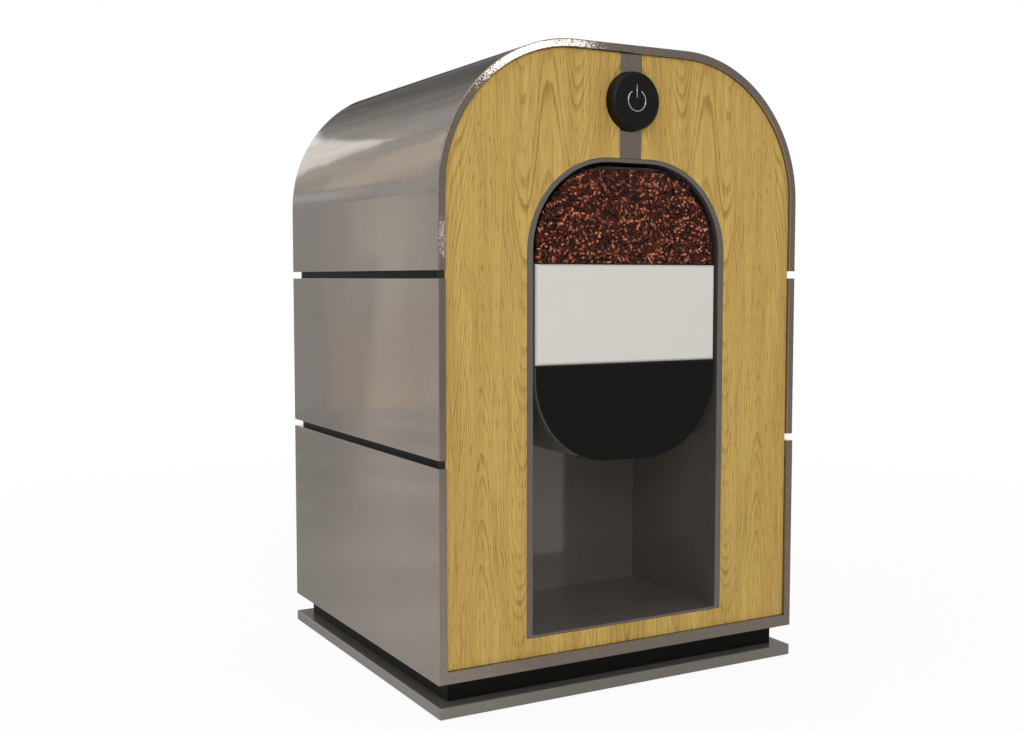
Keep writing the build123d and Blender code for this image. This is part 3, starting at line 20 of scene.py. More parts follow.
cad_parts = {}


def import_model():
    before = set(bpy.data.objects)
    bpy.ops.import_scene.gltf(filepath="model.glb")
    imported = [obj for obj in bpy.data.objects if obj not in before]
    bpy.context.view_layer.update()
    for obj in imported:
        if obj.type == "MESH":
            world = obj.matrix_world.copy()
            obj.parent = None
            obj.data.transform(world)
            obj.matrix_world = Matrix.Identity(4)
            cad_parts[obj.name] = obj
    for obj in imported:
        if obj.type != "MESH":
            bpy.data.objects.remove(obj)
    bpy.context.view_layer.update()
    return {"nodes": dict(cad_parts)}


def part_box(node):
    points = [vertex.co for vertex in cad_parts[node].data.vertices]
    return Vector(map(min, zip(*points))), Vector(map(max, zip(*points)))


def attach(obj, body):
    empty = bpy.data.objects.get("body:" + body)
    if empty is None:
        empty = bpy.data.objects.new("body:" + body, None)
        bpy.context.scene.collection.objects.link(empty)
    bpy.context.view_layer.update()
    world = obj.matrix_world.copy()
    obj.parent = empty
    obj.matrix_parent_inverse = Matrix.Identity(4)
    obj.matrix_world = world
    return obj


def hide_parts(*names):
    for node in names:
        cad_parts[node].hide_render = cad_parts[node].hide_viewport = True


LOG = logging.getLogger("coffee_maker")

Colour = tuple[float, float, float, float]
Point = tuple[float, float, float]
Span = tuple[float, float]
Shape = bmesh.types.BMesh
Socket = bpy.types.NodeSocket
Sockets = bpy.types.bpy_prop_collection
Value = Union[float, Colour, Point, Socket]
Inputs = dict[Union[str, int], Value]

WHITE: Colour = (1.0, 1.0, 1.0, 1.0)
MERGE_DISTANCE = 1e-6
FACING_LIMIT = 0.5


def screen(*channels: int) -> Colour:
    """Turn a screen colour into the linear one that a shader takes.

    Args:
        channels: Red, green and blue from 0 to 255.

    Returns:
        Linear red, green and blue, and a full alpha.
    """
    shares = [channel / 255 for channel in channels]
    red, green, blue = [share / 12.92 if share <= 0.04045 else ((share + 0.055) / 1.055) ** 2.4 for share in shares]
    return red, green, blue, 1.0


def toned(colour: Colour, share: float, lift: float = 0.0) -> Colour:
    """Make a colour darker or paler."""
    red, green, blue = [min(1.0, part * share + lift) for part in colour[:3]]
    return red, green, blue, 1.0


class Lines(Enum):
    """The direction that brush or drawing lines run in, as the stretch of the pattern along each axis."""

    ALONG_Y = (1.0, 0.02, 1.0)
    ALONG_Z = (1.0, 1.0, 0.02)


class Tree:
    """Adds nodes to one node tree and joins them."""

    def __init__(self, tree: bpy.types.NodeTree) -> None:
        """Keep the tree that the nodes go into."""
        self.tree = tree

    def link(self, socket: Socket, value: Value) -> None:
        """Link a socket to another, or set its value.

        Args:
            socket: The socket that takes it.
            value: The other socket, or the value.
        """
        if isinstance(value, Socket):
            self.tree.links.new(value, socket)
        else:
            socket.default_value = value

    def feed(self, node: bpy.types.Node, **values: Value) -> None:
        """Feed a node's inputs.

        Args:
            node: The node.
            values: Values or links, by name with underscores for spaces.
        """
        for name, value in values.items():
            self.link(node.inputs[name.replace("_", " ")], value)

    def node(self, kind: str, inputs: Inputs | None = None, **settings: object) -> bpy.types.Node:
        """Add one shader node.

        Args:
            kind: The node's type without its common prefix.
            inputs: Values or links for its inputs, by name or place.
            settings: Its properties.

        Returns:
            The new node.
        """
        made = self.tree.nodes.new("ShaderNode" + kind)
        for name, value in settings.items():
            setattr(made, name, value)
        for key, value in (inputs or {}).items():
            self.link(made.inputs[key], value)
        return made

    def math(self, operation: str, *values: Value, clamp: bool = False) -> Socket:
        """Add one Math node and return its result."""
        return self.node("Math", dict(enumerate(values)), operation=operation, use_clamp=clamp).outputs[0]

    def plus(self, first: Value, second: Value, clamp: bool = False) -> Socket:
        """Add two values."""
        return self.math("ADD", first, second, clamp=clamp)

    def minus(self, first: Value, second: Value) -> Socket:
        """Take the second value from the first."""
        return self.math("SUBTRACT", first, second)

    def times(self, first: Value, second: Value) -> Socket:
        """Multiply two values."""
        return self.math("MULTIPLY", first, second)

    def scaled(self, value: Value, factor: Value, offset: Value) -> Socket:
        """Multiply a value and add an offset to it."""
        return self.math("MULTIPLY_ADD", value, factor, offset)

    def vector_math(self, operation: str, inputs: Inputs, gives: str = "Vector") -> Socket:
        """Add one Vector Math node and return the named result."""
        return self.node("VectorMath", inputs, operation=operation).outputs[gives]

    def step(self, value: Value, low: float, high: float) -> Socket:
        """Rise smoothly from 0 at low to 1 at high."""
        return self.remap(value, (low, high), (0.0, 1.0), "SMOOTHSTEP")

    def remap(self, value: Value, span: Span, target: Span, kind: str = "LINEAR") -> Socket:
        """Carry a value over from one span to another."""
        inputs = {"Value": value, "From Min": span[0], "From Max": span[1], "To Min": target[0], "To Max": target[1]}
        return self.node("MapRange", inputs, interpolation_type=kind).outputs[0]

    def mix(self, share: Value, first: Value, second: Value, blend: str = "MIX") -> Socket:
        """Mix the second colour into the first by a share, and return the colour."""
        inputs = {0: share, 6: first, 7: second}
        return self.node("Mix", inputs, data_type="RGBA", blend_type=blend).outputs[2]

    def ramp(self, value: Value, *stops: tuple[float, Colour]) -> Socket:
        """Add a colour ramp.

        Args:
            value: The place on the ramp.
            stops: Place and colour of each stop.

        Returns:
            The ramp's colour.
        """
        made = self.node("ValToRGB", {"Fac": value})
        band = made.color_ramp
        while len(band.elements) < len(stops):
            band.elements.new(0.5)
        for element, (place, colour) in zip(band.elements, stops):
            element.position = place
            element.color = colour
        return made.outputs["Color"]

    def noise(self, vector: Value, scale: Value, detail: float = 2.0, rough: float = 0.5) -> Socket:
        """Add a noise texture and return its value."""
        inputs = {"Vector": vector, "Scale": scale, "Detail": detail, "Roughness": rough}
        return self.node("TexNoise", inputs).outputs["Fac"]

    def stretched(self, vector: Value, scale: Point, offset: Point = (0.0, 0.0, 0.0)) -> Socket:
        """Scale and move a pattern's coordinates."""
        inputs = {"Vector": vector, "Scale": scale, "Location": offset}
        return self.node("Mapping", inputs).outputs["Vector"]

    def split(self, vector: Value) -> Sockets:
        """Split a vector into its parts along X, Y and Z."""
        return self.node("SeparateXYZ", {0: vector}).outputs

    def join(self, x: Value, y: Value, z: Value) -> Socket:
        """Join three values into a vector or a colour."""
        return self.node("CombineXYZ", {0: x, 1: y, 2: z}).outputs[0]

    def place(self) -> Socket:
        """Object coordinates, which are the frame's own metres."""
        return self.node("TexCoord").outputs["Object"]

    def facing(self, axis: str) -> Socket:
        """How far each face looks along an axis, in the piece's own space."""
        return self.split(self.node("TexCoord").outputs["Normal"])[axis]

    def front(self) -> Socket:
        """Mark the faces that look to the front or to the back."""
        return self.math("GREATER_THAN", self.math("ABSOLUTE", self.facing("Y")), FACING_LIMIT)

    def bump(self, height: Value, depth: float, strength: float, normal: Value | None = None) -> Socket:
        """Turn a height into a normal.

        Args:
            height: The height from 0 to 1.
            depth: What a height of 1 stands for, in metres.
            strength: How much of it shows.
            normal: The normal that it starts from.

        Returns:
            The new normal.
        """
        inputs: Inputs = {"Height": height, "Distance": depth, "Strength": strength}
        if normal is not None:
            inputs["Normal"] = normal
        return self.node("Bump", inputs).outputs["Normal"]


@dataclass(frozen=True)
class Pattern:
    """Noise that is stretched along the axes.

    Attributes:
        scale: How closely it repeats along each axis.
        offset: Which part of it shows.
        detail: How many finer layers it has.
        rough: How strong the finer layers are.
    """

    scale: Point
    offset: Point = (0.0, 0.0, 0.0)
    detail: float = 2.0
    rough: float = 0.5

    def over(self, tree: Tree, vector: Value) -> Socket:
        """Lay it over a surface and return its value."""
        return tree.noise(tree.stretched(vector, self.scale, self.offset), 1.0, self.detail, self.rough)


class Effect(ABC):
    """An effect that several finishes share, kept as one node group with named inputs and outputs."""

    title: ClassVar[str]
    takes: ClassVar[tuple[str, ...]]
    gives: ClassVar[tuple[str, ...]]

    @classmethod
    def group(cls) -> bpy.types.NodeTree:
        """Build the node group the first time.

        Returns:
            The node group.
        """
        found = bpy.data.node_groups.get(cls.title)
        if found:
            return found
        made = bpy.data.node_groups.new(cls.title, "ShaderNodeTree")
        for way, names in (("INPUT", cls.takes), ("OUTPUT", cls.gives)):
            for name in names:
                kind = "NodeSocketVector" if name in ("Vector", "Normal") else "NodeSocketFloat"
                made.interface.new_socket(name, in_out=way, socket_type=kind)
        tree = Tree(made)
        entry = made.nodes.new("NodeGroupInput")
        tree.feed(made.nodes.new("NodeGroupOutput"), **cls.fill(tree, entry.outputs))
        return made

    @classmethod
    @abstractmethod
    def fill(cls, tree: Tree, entry: Sockets) -> dict[str, Value]:
        """Build the group's inside.

        Args:
            tree: The group's tree.
            entry: The group's inputs, by name.

        Returns:
            What goes to each output, by name.
        """

    @classmethod
    def use(cls, tree: Tree, **values: Value) -> Sockets:
        """Place the group in a tree.

        Args:
            tree: The tree of the finish.
            values: Values or links for the inputs, by name in lower case.

        Returns:
            The group's outputs, by name.
        """
        made = tree.tree.nodes.new("ShaderNodeGroup")
        made.node_tree = cls.group()
        tree.feed(made, **{name.capitalize(): value for name, value in values.items()})
        return made.outputs


class FineGrain(Effect):
    """The fine texture of a moulded or painted surface: its height, and a roughness that varies a little."""

    title = "fine grain"
    takes = ("Vector", "Size", "Roughness", "Variation")
    gives = ("Height", "Roughness")
    broad_scale = 22.0
    fine_share = 0.4

    @classmethod
    def fill(cls, tree: Tree, entry: Sockets) -> dict[str, Value]:
        """Build fine noise for the height and broad noise for the roughness.

        Args:
            tree: The group's tree.
            entry: The group's inputs, by name.

        Returns:
            What goes to each output, by name.
        """
        fine = tree.noise(entry["Vector"], tree.math("DIVIDE", 1.0, entry["Size"]), 2.0, 0.6)
        broad = tree.noise(entry["Vector"], cls.broad_scale, 3.0, 0.6)
        both = tree.plus(tree.times(fine, cls.fine_share), tree.times(broad, 1 - cls.fine_share))
        change = tree.times(tree.minus(both, 0.5), entry["Variation"])
        return {"Height": fine, "Roughness": tree.plus(entry["Roughness"], change, clamp=True)}


class SoftEdge(Effect):
    """Edges rounded by a small radius, and a mask that marks them."""

    title = "soft edge"
    takes = ("Radius",)
    gives = ("Normal", "Edge")
    bend = (0.01, 0.2)

    @classmethod
    def fill(cls, tree: Tree, entry: Sockets) -> dict[str, Value]:
        """Build the rounded normal and compare it with the flat one.

        Args:
            tree: The group's tree.
            entry: The group's inputs, by name.

        Returns:
            What goes to each output, by name.
        """
        rounded = tree.node("Bevel", {"Radius": entry["Radius"]}, samples=4).outputs["Normal"]
        flat = tree.node("NewGeometry").outputs["Normal"]
        along = tree.vector_math("DOT_PRODUCT", {0: rounded, 1: flat}, "Value")
        return {"Normal": rounded, "Edge": tree.step(tree.minus(1.0, along), *cls.bend)}


class MetalFlake(Effect):
    """Flakes in a metallic lacquer: each tilts the surface a little, and a few of them glint."""

    title = "metal flake"
    takes = ("Vector", "Normal", "Size", "Tilt")
    gives = ("Normal", "Glint")
    bright = (0.55, 1.0)

    @classmethod
    def fill(cls, tree: Tree, entry: Sockets) -> dict[str, Value]:
        """Build one cell for each flake, with a tilt and a brightness of its own.

        Args:
            tree: The group's tree.
            entry: The group's inputs, by name.

        Returns:
            What goes to each output, by name.
        """
        scale = tree.math("DIVIDE", 1.0, entry["Size"])
        cell = tree.node("TexVoronoi", {"Vector": entry["Vector"], "Scale": scale}).outputs["Color"]
        turn = tree.vector_math("SUBTRACT", {0: cell, 1: (0.5, 0.5, 0.5)})
        tilt = tree.vector_math("SCALE", {0: turn, "Scale": entry["Tilt"]})
        normal = tree.vector_math("NORMALIZE", {0: tree.vector_math("ADD", {0: entry["Normal"], 1: tilt})})
        return {"Normal": normal, "Glint": tree.step(tree.split(cell)["X"], *cls.bright)}


class BrushLines(Effect):
    """Fine parallel lines of brushed or drawn metal."""

    title = "brush lines"
    takes = ("Vector", "Roughness", "Variation")
    gives = ("Height", "Roughness")
    line_scale = 1600.0
    wear_scale = 40.0

    @classmethod
    def fill(cls, tree: Tree, entry: Sockets) -> dict[str, Value]:
        """Build stretched noise for the lines and round noise for the wear.

        Args:
            tree: The group's tree.
            entry: The group's inputs, by name.

        Returns:
            What goes to each output, by name.
        """
        lines = tree.noise(entry["Vector"], cls.line_scale, 3.0, 0.7)
        wear = tree.noise(entry["Vector"], cls.wear_scale)
        change = tree.times(tree.minus(tree.plus(lines, wear), 1.0), entry["Variation"])
        return {"Height": lines, "Roughness": tree.plus(entry["Roughness"], change, clamp=True)}


class OakGrain(Effect):
    """Plain-sawn oak with upright grain, folded into two mirrored halves."""

    title = "oak grain"
    takes = ("Vector", "Ring", "Slant", "Swell")
    gives = ("Figure", "Pores", "Fibre", "Tone")
    swell = Pattern((31.0, 1.0, 2.4), (2.1, 0.0, 0.6), 0.0)
    sway = Pattern((95.0, 1.0, 11.0), (3.0, 0.0, 7.0))
    waver = Pattern((420.0, 1.0, 60.0), (8.0, 0.0, 2.0), 1.0)
    patch = Pattern((34.0, 1.0, 9.0), (9.0, 0.0, 4.0))
    dashes = Pattern((1500.0, 1.0, 80.0), detail=1.0, rough=0.4)
    fibre = Pattern((900.0, 1.0, 14.0), detail=3.0, rough=0.65)
    tone = Pattern((60.0, 1.0, 3.0), (5.0, 0.0, 1.0), 3.0, 0.6)
    sway_depth = 0.0018
    waver_depth = 0.0004
    sway_across = 0.002
    ring_change = 0.8
    early_wood = (0.35, 0.88)
    late_wood = (0.9, 1.0)
    strength_span = (0.25, 0.7)
    patch_span = (0.42, 0.62)
    patch_least = 0.2
    pore_span = (0.55, 0.7)
    pore_least = 0.25

    @classmethod
    def fill(cls, tree: Tree, entry: Sockets) -> dict[str, Value]:
        """Build the yearly rings that the veneer cuts across, and the pores and fibres on them.

        Args:
            tree: The group's tree.
            entry: The group's inputs, by name.

        Returns:
            What goes to each output, by name.
        """
        split = tree.split(entry["Vector"])
        across = tree.math("ABSOLUTE", split["X"])
        folded = tree.join(across, 0.0, split["Z"])
        sway = cls.sway.over(tree, folded)
        depth = tree.scaled(cls.swell.over(tree, folded), entry["Swell"], tree.times(split["Z"], entry["Slant"]))
        depth = tree.scaled(sway, cls.sway_depth, depth)
        depth = tree.scaled(cls.waver.over(tree, folded), cls.waver_depth, depth)
        rings = tree.math("DIVIDE", depth, entry["Ring"])
        year = tree.math("FRACT", rings)
        strong = tree.node("TexNoise", {"W": tree.times(rings, cls.ring_change), "Scale": 1.0},
                           noise_dimensions="1D").outputs["Fac"]
        early = tree.times(tree.step(year, *cls.early_wood), tree.minus(1.0, tree.step(year, *cls.late_wood)))
        patch = tree.scaled(tree.step(cls.patch.over(tree, folded), *cls.patch_span), 1 - cls.patch_least,
                            cls.patch_least)
        shown = tree.times(tree.step(strong, *cls.strength_span), patch)
        flow = tree.join(tree.scaled(sway, cls.sway_across, across), 0.0, split["Z"])
        open_wood = tree.scaled(early, 1 - cls.pore_least, cls.pore_least)
        pores = tree.times(tree.step(cls.dashes.over(tree, flow), *cls.pore_span), open_wood)
        return {"Figure": tree.times(early, shown), "Pores": pores, "Fibre": cls.fibre.over(tree, flow),
                "Tone": cls.tone.over(tree, flow)}


@dataclass(frozen=True)
class Finish(ABC):
    """A named finish. Each kind of finish says what its shader's sockets take.

    Attributes:
        name: The material's name.
        slot: The material slot that it stands for. Nothing in this script reads it.
    """

    name: str
    slot: str

    def material(self) -> bpy.types.Material:
        """Build the material the first time.

        Returns:
            The material.
        """
        made = bpy.data.materials.get(self.name)
        if not made:
            made = bpy.data.materials.new(self.name)
            made.use_nodes = True
            tree = Tree(made.node_tree)
            tree.feed(made.node_tree.nodes["Principled BSDF"], **self.sockets(tree))
        return made

    @abstractmethod
    def sockets(self, tree: Tree) -> dict[str, Value]:
        """Build the material's nodes.

        Args:
            tree: The material's tree.

        Returns:
            What goes to the shader's sockets, by name with underscores for spaces.
        """


@dataclass(frozen=True)
class MetallicLacquer(Finish):
    """Gloss lacquer with metal flakes under a clear coat, on sheet that is slightly wavy.

    Attributes:
        front_size: The flakes' size on faces that look to the front or to the back.
        front_tilt: How far they tilt there.
        floor_wear: How much rougher faces that look upwards are.
    """

    colour: Colour
    glint: Colour
    roughness: float = 0.045
    metallic: float = 0.88
    coat: float = 0.2
    flake_size: float = 0.00035
    flake_tilt: float = 0.006
    front_size: float = 0.0005
    front_tilt: float = 0.018
    floor_wear: float = 0.0
    glint_share: float = 0.4
    wave_height: float = 0.0003
    edge_radius: float = 0.0005
    cloud_size: float = 0.006
    cloud_change: float = 0.03
    waves: Pattern = Pattern((14.0, 14.0, 5.0), rough=0.4)

    def sockets(self, tree: Tree) -> dict[str, Value]:
        """Build the lacquer: the sheet's waves bend the gloss, and the flakes scatter it.

        Args:
            tree: The material's tree.

        Returns:
            What goes to the shader's sockets, by name with underscores for spaces.
        """
        place = tree.place()
        edge = SoftEdge.use(tree, radius=self.edge_radius)
        wavy = tree.bump(self.waves.over(tree, place), self.wave_height, 1.0, edge["Normal"])
        front = tree.front()
        size = tree.scaled(front, self.front_size - self.flake_size, self.flake_size)
        tilt = tree.scaled(front, self.front_tilt - self.flake_tilt, self.flake_tilt)
        flake = MetalFlake.use(tree, vector=place, normal=wavy, size=size, tilt=tilt)
        grain = FineGrain.use(tree, vector=place, size=self.cloud_size, roughness=self.roughness,
                              variation=self.cloud_change)
        upward = tree.math("GREATER_THAN", tree.facing("Z"), FACING_LIMIT)
        return dict(Base_Color=tree.mix(tree.times(flake["Glint"], self.glint_share), self.colour, self.glint),
                    Roughness=tree.scaled(upward, self.floor_wear, grain["Roughness"]), Normal=flake["Normal"],
                    Metallic=self.metallic, Coat_Weight=self.coat, Coat_Roughness=0.05, Coat_Normal=wavy)


@dataclass(frozen=True)
class OakVeneer(Finish):
    """Oiled oak veneer. Its cut edge is brown at the niche, and black as painted shade where it shows in the shadow
    gaps.
    """

    pale: Colour
    middle: Colour
    dark: Colour
    pore: Colour
    edge: Colour
    joint: Colour
    gap_shade_span: Span = (0.128, 0.131)
    ring: float = 0.0018
    slant: float = 0.125
    swell: float = 0.056
    tone_span: Span = (0.3, 0.62)
    fibre_span: Span = (0.42, 0.72)
    fibre_share: float = 0.55
    figure_share: float = 0.72
    pore_share: float = 0.6
    roughness: float = 0.42
    roughening: float = 0.2
    relief: float = 0.00015

    def sockets(self, tree: Tree) -> dict[str, Value]:
        """Build the veneer: tone, rings, pores and fibres, and the cut edges.

        Args:
            tree: The material's tree.

        Returns:
            What goes to the shader's sockets, by name with underscores for spaces.
        """
        place = tree.place()
        grain = OakGrain.use(tree, vector=place, ring=self.ring, slant=self.slant, swell=self.swell)
        ground = tree.ramp(grain["Tone"], *zip(self.tone_span, (self.middle, self.pale)))
        fibre = tree.times(tree.step(grain["Fibre"], *self.fibre_span), self.fibre_share)
        ringed = tree.mix(tree.times(grain["Figure"], self.figure_share), tree.mix(fibre, ground, self.dark), self.dark)
        pored = tree.mix(tree.times(grain["Pores"], self.pore_share), ringed, self.pore)
        across = tree.math("ABSOLUTE", tree.split(place)["X"])
        # Painted shade: the outer cut edge, which shows in the shadow gaps, is black.
        side = tree.mix(tree.step(across, *self.gap_shade_span), self.edge, self.joint)
        rough = tree.scaled(grain["Pores"], self.roughening,
                            tree.scaled(grain["Fibre"], self.roughening, self.roughness))
        height = tree.minus(tree.times(grain["Fibre"], 0.5), grain["Pores"])
        return dict(Base_Color=tree.mix(tree.front(), side, pored), Roughness=rough, Specular_IOR_Level=0.25,
                    Normal=tree.bump(height, self.relief, 0.5))


@dataclass(frozen=True)
class MouldedPlastic(Finish):
    """Moulded plastic or rubber with a fine texture and soft edges.

    Attributes:
        side: A painted highlight: a paler colour for faces that look sideways, upwards or downwards, where there is
            one.
    """

    colour: Colour
    roughness: float = 0.45
    grain_size: float = 0.0005
    grain_depth: float = 0.00004
    variation: float = 0.12
    edge_radius: float = 0.0004
    edge_shine: float = 0.15
    coat: float = 0.0
    specular: float = 0.5
    side: Colour | None = None
    hollow_shade: float = 0.88
    edge_highlight_tone: Span = (1.25, 0.012)

    def sockets(self, tree: Tree) -> dict[str, Value]:
        """Build the plastic: grain in the height, painted shade in the grain's hollows, and a painted highlight that
        makes the edges paler.

        Args:
            tree: The material's tree.

        Returns:
            What goes to the shader's sockets, by name with underscores for spaces.
        """
        edge = SoftEdge.use(tree, radius=self.edge_radius)
        grain = FineGrain.use(tree, vector=tree.place(), size=self.grain_size, roughness=self.roughness,
                              variation=self.variation)
        # Painted shade: the grain's hollows are darker than its tops.
        ground = tree.mix(grain["Height"], toned(self.colour, self.hollow_shade), self.colour)
        if self.side:
            # Painted highlight: faces that don't look to the front or back take the paler side colour.
            ground = tree.mix(tree.front(), self.side, ground)
        # Painted highlight: the edges are paler, as much as edge_shine says.
        highlit_edges = tree.mix(tree.times(edge["Edge"], self.edge_shine), ground, toned(self.colour, *self.edge_highlight_tone))
        return dict(Base_Color=highlit_edges, Roughness=grain["Roughness"], Specular_IOR_Level=self.specular,
                    Coat_Weight=self.coat, Coat_Roughness=0.12,
                    Normal=tree.bump(grain["Height"], self.grain_depth, 0.6, edge["Normal"]))


@dataclass(frozen=True)
class BrushedMetal(Finish):
    """Bare metal with brush or drawing lines in one direction."""

    colour: Colour
    lines: Lines
    roughness: float
    metallic: float = 1.0
    variation: float = 0.22
    edge_radius: float = 0.0003
    line_shade: float = 0.78
    line_depth: float = 0.00002

    def sockets(self, tree: Tree) -> dict[str, Value]:
        """Build the metal: stretched lines in the roughness and the height, with painted shade in their grooves in the
        colour.

        Args:
            tree: The material's tree.

        Returns:
            What goes to the shader's sockets, by name with underscores for spaces.
        """
        stretch = tree.stretched(tree.place(), self.lines.value)
        brush = BrushLines.use(tree, vector=stretch, roughness=self.roughness, variation=self.variation)
        edge = SoftEdge.use(tree, radius=self.edge_radius)
        # Painted shade: the lines' grooves are darker.
        return dict(Base_Color=tree.mix(brush["Height"], toned(self.colour, self.line_shade), self.colour),
                    Roughness=brush["Roughness"], Metallic=self.metallic,
                    Normal=tree.bump(brush["Height"], self.line_depth, 0.5, edge["Normal"]))


@dataclass(frozen=True)
class ClearPane(Finish):
    """Clear glass or plastic. A tint and a faint haze keep it visible."""

    tint: Colour
    ior: float
    roughness: float = 0.03
    clear: Colour = (0.98, 0.98, 0.98, 1.0)

    def sockets(self, tree: Tree) -> dict[str, Value]:
        """Build the pane: full transmission with a roughness that varies a little.

        Args:
            tree: The material's tree.

        Returns:
            What goes to the shader's sockets, by name with underscores for spaces.
        """
        grain = FineGrain.use(tree, vector=tree.place(), size=0.012, roughness=self.roughness, variation=0.04)
        return dict(Base_Color=tree.mix(grain["Height"], self.tint, self.clear), Roughness=grain["Roughness"],
                    Transmission_Weight=1.0, IOR=self.ior)


@dataclass(frozen=True)
class RoastedBeans(Finish):
    """Roasted beans: each has a tone of its own, dull patches and a pale cut."""

    dark: Colour
    middle: Colour
    red: Colour
    cut: Colour
    patches: float = 900.0
    patch_span: Span = (0.45, 0.7)
    cut_share: float = 0.8
    gloss: Span = (0.3, 0.25)

    def sockets(self, tree: Tree) -> dict[str, Value]:
        """Build the beans' colour from the tone and the cut that their mesh carries.

        Args:
            tree: The material's tree.

        Returns:
            What goes to the shader's sockets, by name with underscores for spaces.
        """
        tone, cut = (tree.node("Attribute", attribute_name=name).outputs["Fac"] for name in ("tone", "cut"))
        patch = tree.noise(tree.place(), self.patches, 3.0, 0.7)
        shell = tree.ramp(tone, (0.0, self.dark), (0.55, self.middle), (1.0, self.red))
        mottled = tree.mix(tree.step(patch, *self.patch_span), shell, self.dark)
        return dict(Base_Color=tree.mix(tree.times(cut, self.cut_share), mottled, self.cut), Specular_IOR_Level=0.2,
                    Roughness=tree.scaled(patch, *self.gloss), Normal=tree.bump(patch, 0.00015, 0.6))


@dataclass(frozen=True)
class PrintedBoard(Finish):
    """Printed board: green lacquer over copper tracks, and dark components that stand off it."""

    lacquer: Colour
    track: Colour
    component: Colour
    face_depth: float = 0.0139

    def sockets(self, tree: Tree) -> dict[str, Value]:
        """Build the board: tracks on the flat face, and the components' own colour beyond it.

        Args:
            tree: The material's tree.

        Returns:
            What goes to the shader's sockets, by name with underscores for spaces.
        """
        place = tree.place()
        cells = tree.node("TexBrick", {"Vector": tree.stretched(place, (1.0, 90.0, 90.0)), "Scale": 1.0,
                                       "Mortar Size": 0.03}).outputs["Fac"]
        flat = tree.mix(cells, self.lacquer, self.track)
        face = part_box("control_board")[1].x - self.face_depth
        beyond = tree.math("LESS_THAN", tree.split(place)["X"], face)
        grain = FineGrain.use(tree, vector=place, size=0.0006, roughness=0.4, variation=0.15)
        return dict(Base_Color=tree.mix(beyond, flat, self.component), Roughness=grain["Roughness"],
                    Normal=tree.bump(grain["Height"], 0.00003, 0.5))


@dataclass(frozen=True)
class Palette:
    """All finishes of the coffee maker."""

    lacquer: Finish = MetallicLacquer("taupe lacquer", "shell_paint", screen(136, 124, 113), screen(178, 166, 154))
    # Painted shade: the niche liner carries the shell's paint, made darker for the shade inside the niche.
    niche: Finish = MetallicLacquer("niche lacquer", "shell_paint", screen(110, 104, 98), screen(134, 128, 122),
                                    roughness=0.08, metallic=0.5, coat=0.06, flake_size=0.0006, flake_tilt=0.01,
                                    front_tilt=0.008, floor_wear=0.3)
    base: Finish = MetallicLacquer("base lacquer", "shell_paint", screen(124, 119, 112), screen(156, 151, 144),
                                   roughness=0.25, metallic=0.55, coat=0.1, flake_tilt=0.02)
    oak: Finish = OakVeneer("oak veneer", "oak", pale=screen(198, 167, 90), middle=screen(182, 146, 76),
                            dark=screen(142, 106, 46), pore=screen(92, 62, 26), edge=screen(150, 112, 60),
                            joint=screen(14, 13, 12))
    black: Finish = MouldedPlastic("black casing plastic", "black_plastic", screen(14, 13, 12), 0.5, specular=0.12)
    cover: Finish = MouldedPlastic("rear cover plastic", "black_plastic", screen(34, 33, 32), 0.42,
                                   grain_size=0.0007, grain_depth=0.00005, specular=0.4)
    # The cap's strong edge_shine is a painted highlight on its rounded edge.
    cap: Finish = MouldedPlastic("button cap plastic", "black_plastic", screen(14, 13, 13), 0.4,
                                 grain_size=0.0003, grain_depth=0.00001, variation=0.08, edge_radius=0.0012,
                                 edge_shine=0.8, specular=0.2)
    # The drawer front's strong edge_shine and its grey side colour are painted highlights on its edges and sides.
    drawer: Finish = MouldedPlastic("drawer front plastic", "black_plastic", screen(14, 13, 12), 0.42,
                                    grain_size=0.0003, grain_depth=0.00001, variation=0.1, edge_radius=0.001,
                                    edge_shine=1.0, specular=0.14, side=screen(120, 121, 114))
    pod: Finish = MouldedPlastic("pod plastic", "dark_plastic", screen(86, 87, 80), 0.28,
                                 grain_size=0.0004, grain_depth=0.00001, variation=0.1)
    dark: Finish = MouldedPlastic("dark inner plastic", "dark_plastic", screen(70, 68, 66), 0.4)
    # The white cover's strong edge_shine is a painted highlight on its bevels.
    white: Finish = MouldedPlastic("white cover plastic", "white_plastic", screen(213, 210, 203), 0.34,
                                   grain_size=0.0006, grain_depth=0.00001, variation=0.1, edge_radius=0.0018,
                                   edge_shine=1.0, coat=0.15)
    nylon: Finish = MouldedPlastic("natural nylon", "gear_plastic", screen(226, 222, 208))
    rubber: Finish = MouldedPlastic("foot rubber", "rubber", screen(34, 34, 34), 0.75,
                                    grain_size=0.0008, grain_depth=0.00008)
    hose: Finish = MouldedPlastic("hose silicone", "hose_rubber", screen(214, 209, 202), 0.5,
                                  grain_size=0.0012, grain_depth=0.00003)
    steel: Finish = BrushedMetal("drawn steel", "steel", screen(196, 196, 194), Lines.ALONG_Y, 0.3)
    burr: Finish = BrushedMetal("ground burr steel", "burr_steel", screen(168, 168, 170), Lines.ALONG_Z, 0.25)
    cast: Finish = BrushedMetal("cast aluminium", "aluminium", screen(206, 206, 208), Lines.ALONG_Z, 0.42)
    motor: Finish = BrushedMetal("plated motor case", "motor_metal", screen(150, 150, 152), Lines.ALONG_Z, 0.38,
                                 metallic=0.9)
    mark: Finish = BrushedMetal("silver mark", "steel", screen(214, 212, 208), Lines.ALONG_Z, 0.24)
    pane: Finish = ClearPane("bean window glass", "clear_glass", screen(250, 251, 251), ior=1.1)
    smoked: Finish = ClearPane("smoked tank plastic", "tank_plastic", screen(168, 174, 178), ior=1.3, roughness=0.06)
    beans: Finish = RoastedBeans("roasted beans", "beans", dark=screen(26, 6, 3), middle=screen(112, 40, 24),
                                 red=screen(255, 156, 112), cut=screen(255, 222, 196))
    board: Finish = PrintedBoard("printed board", "board", screen(22, 84, 48), screen(34, 110, 64),
                                 screen(30, 30, 32))


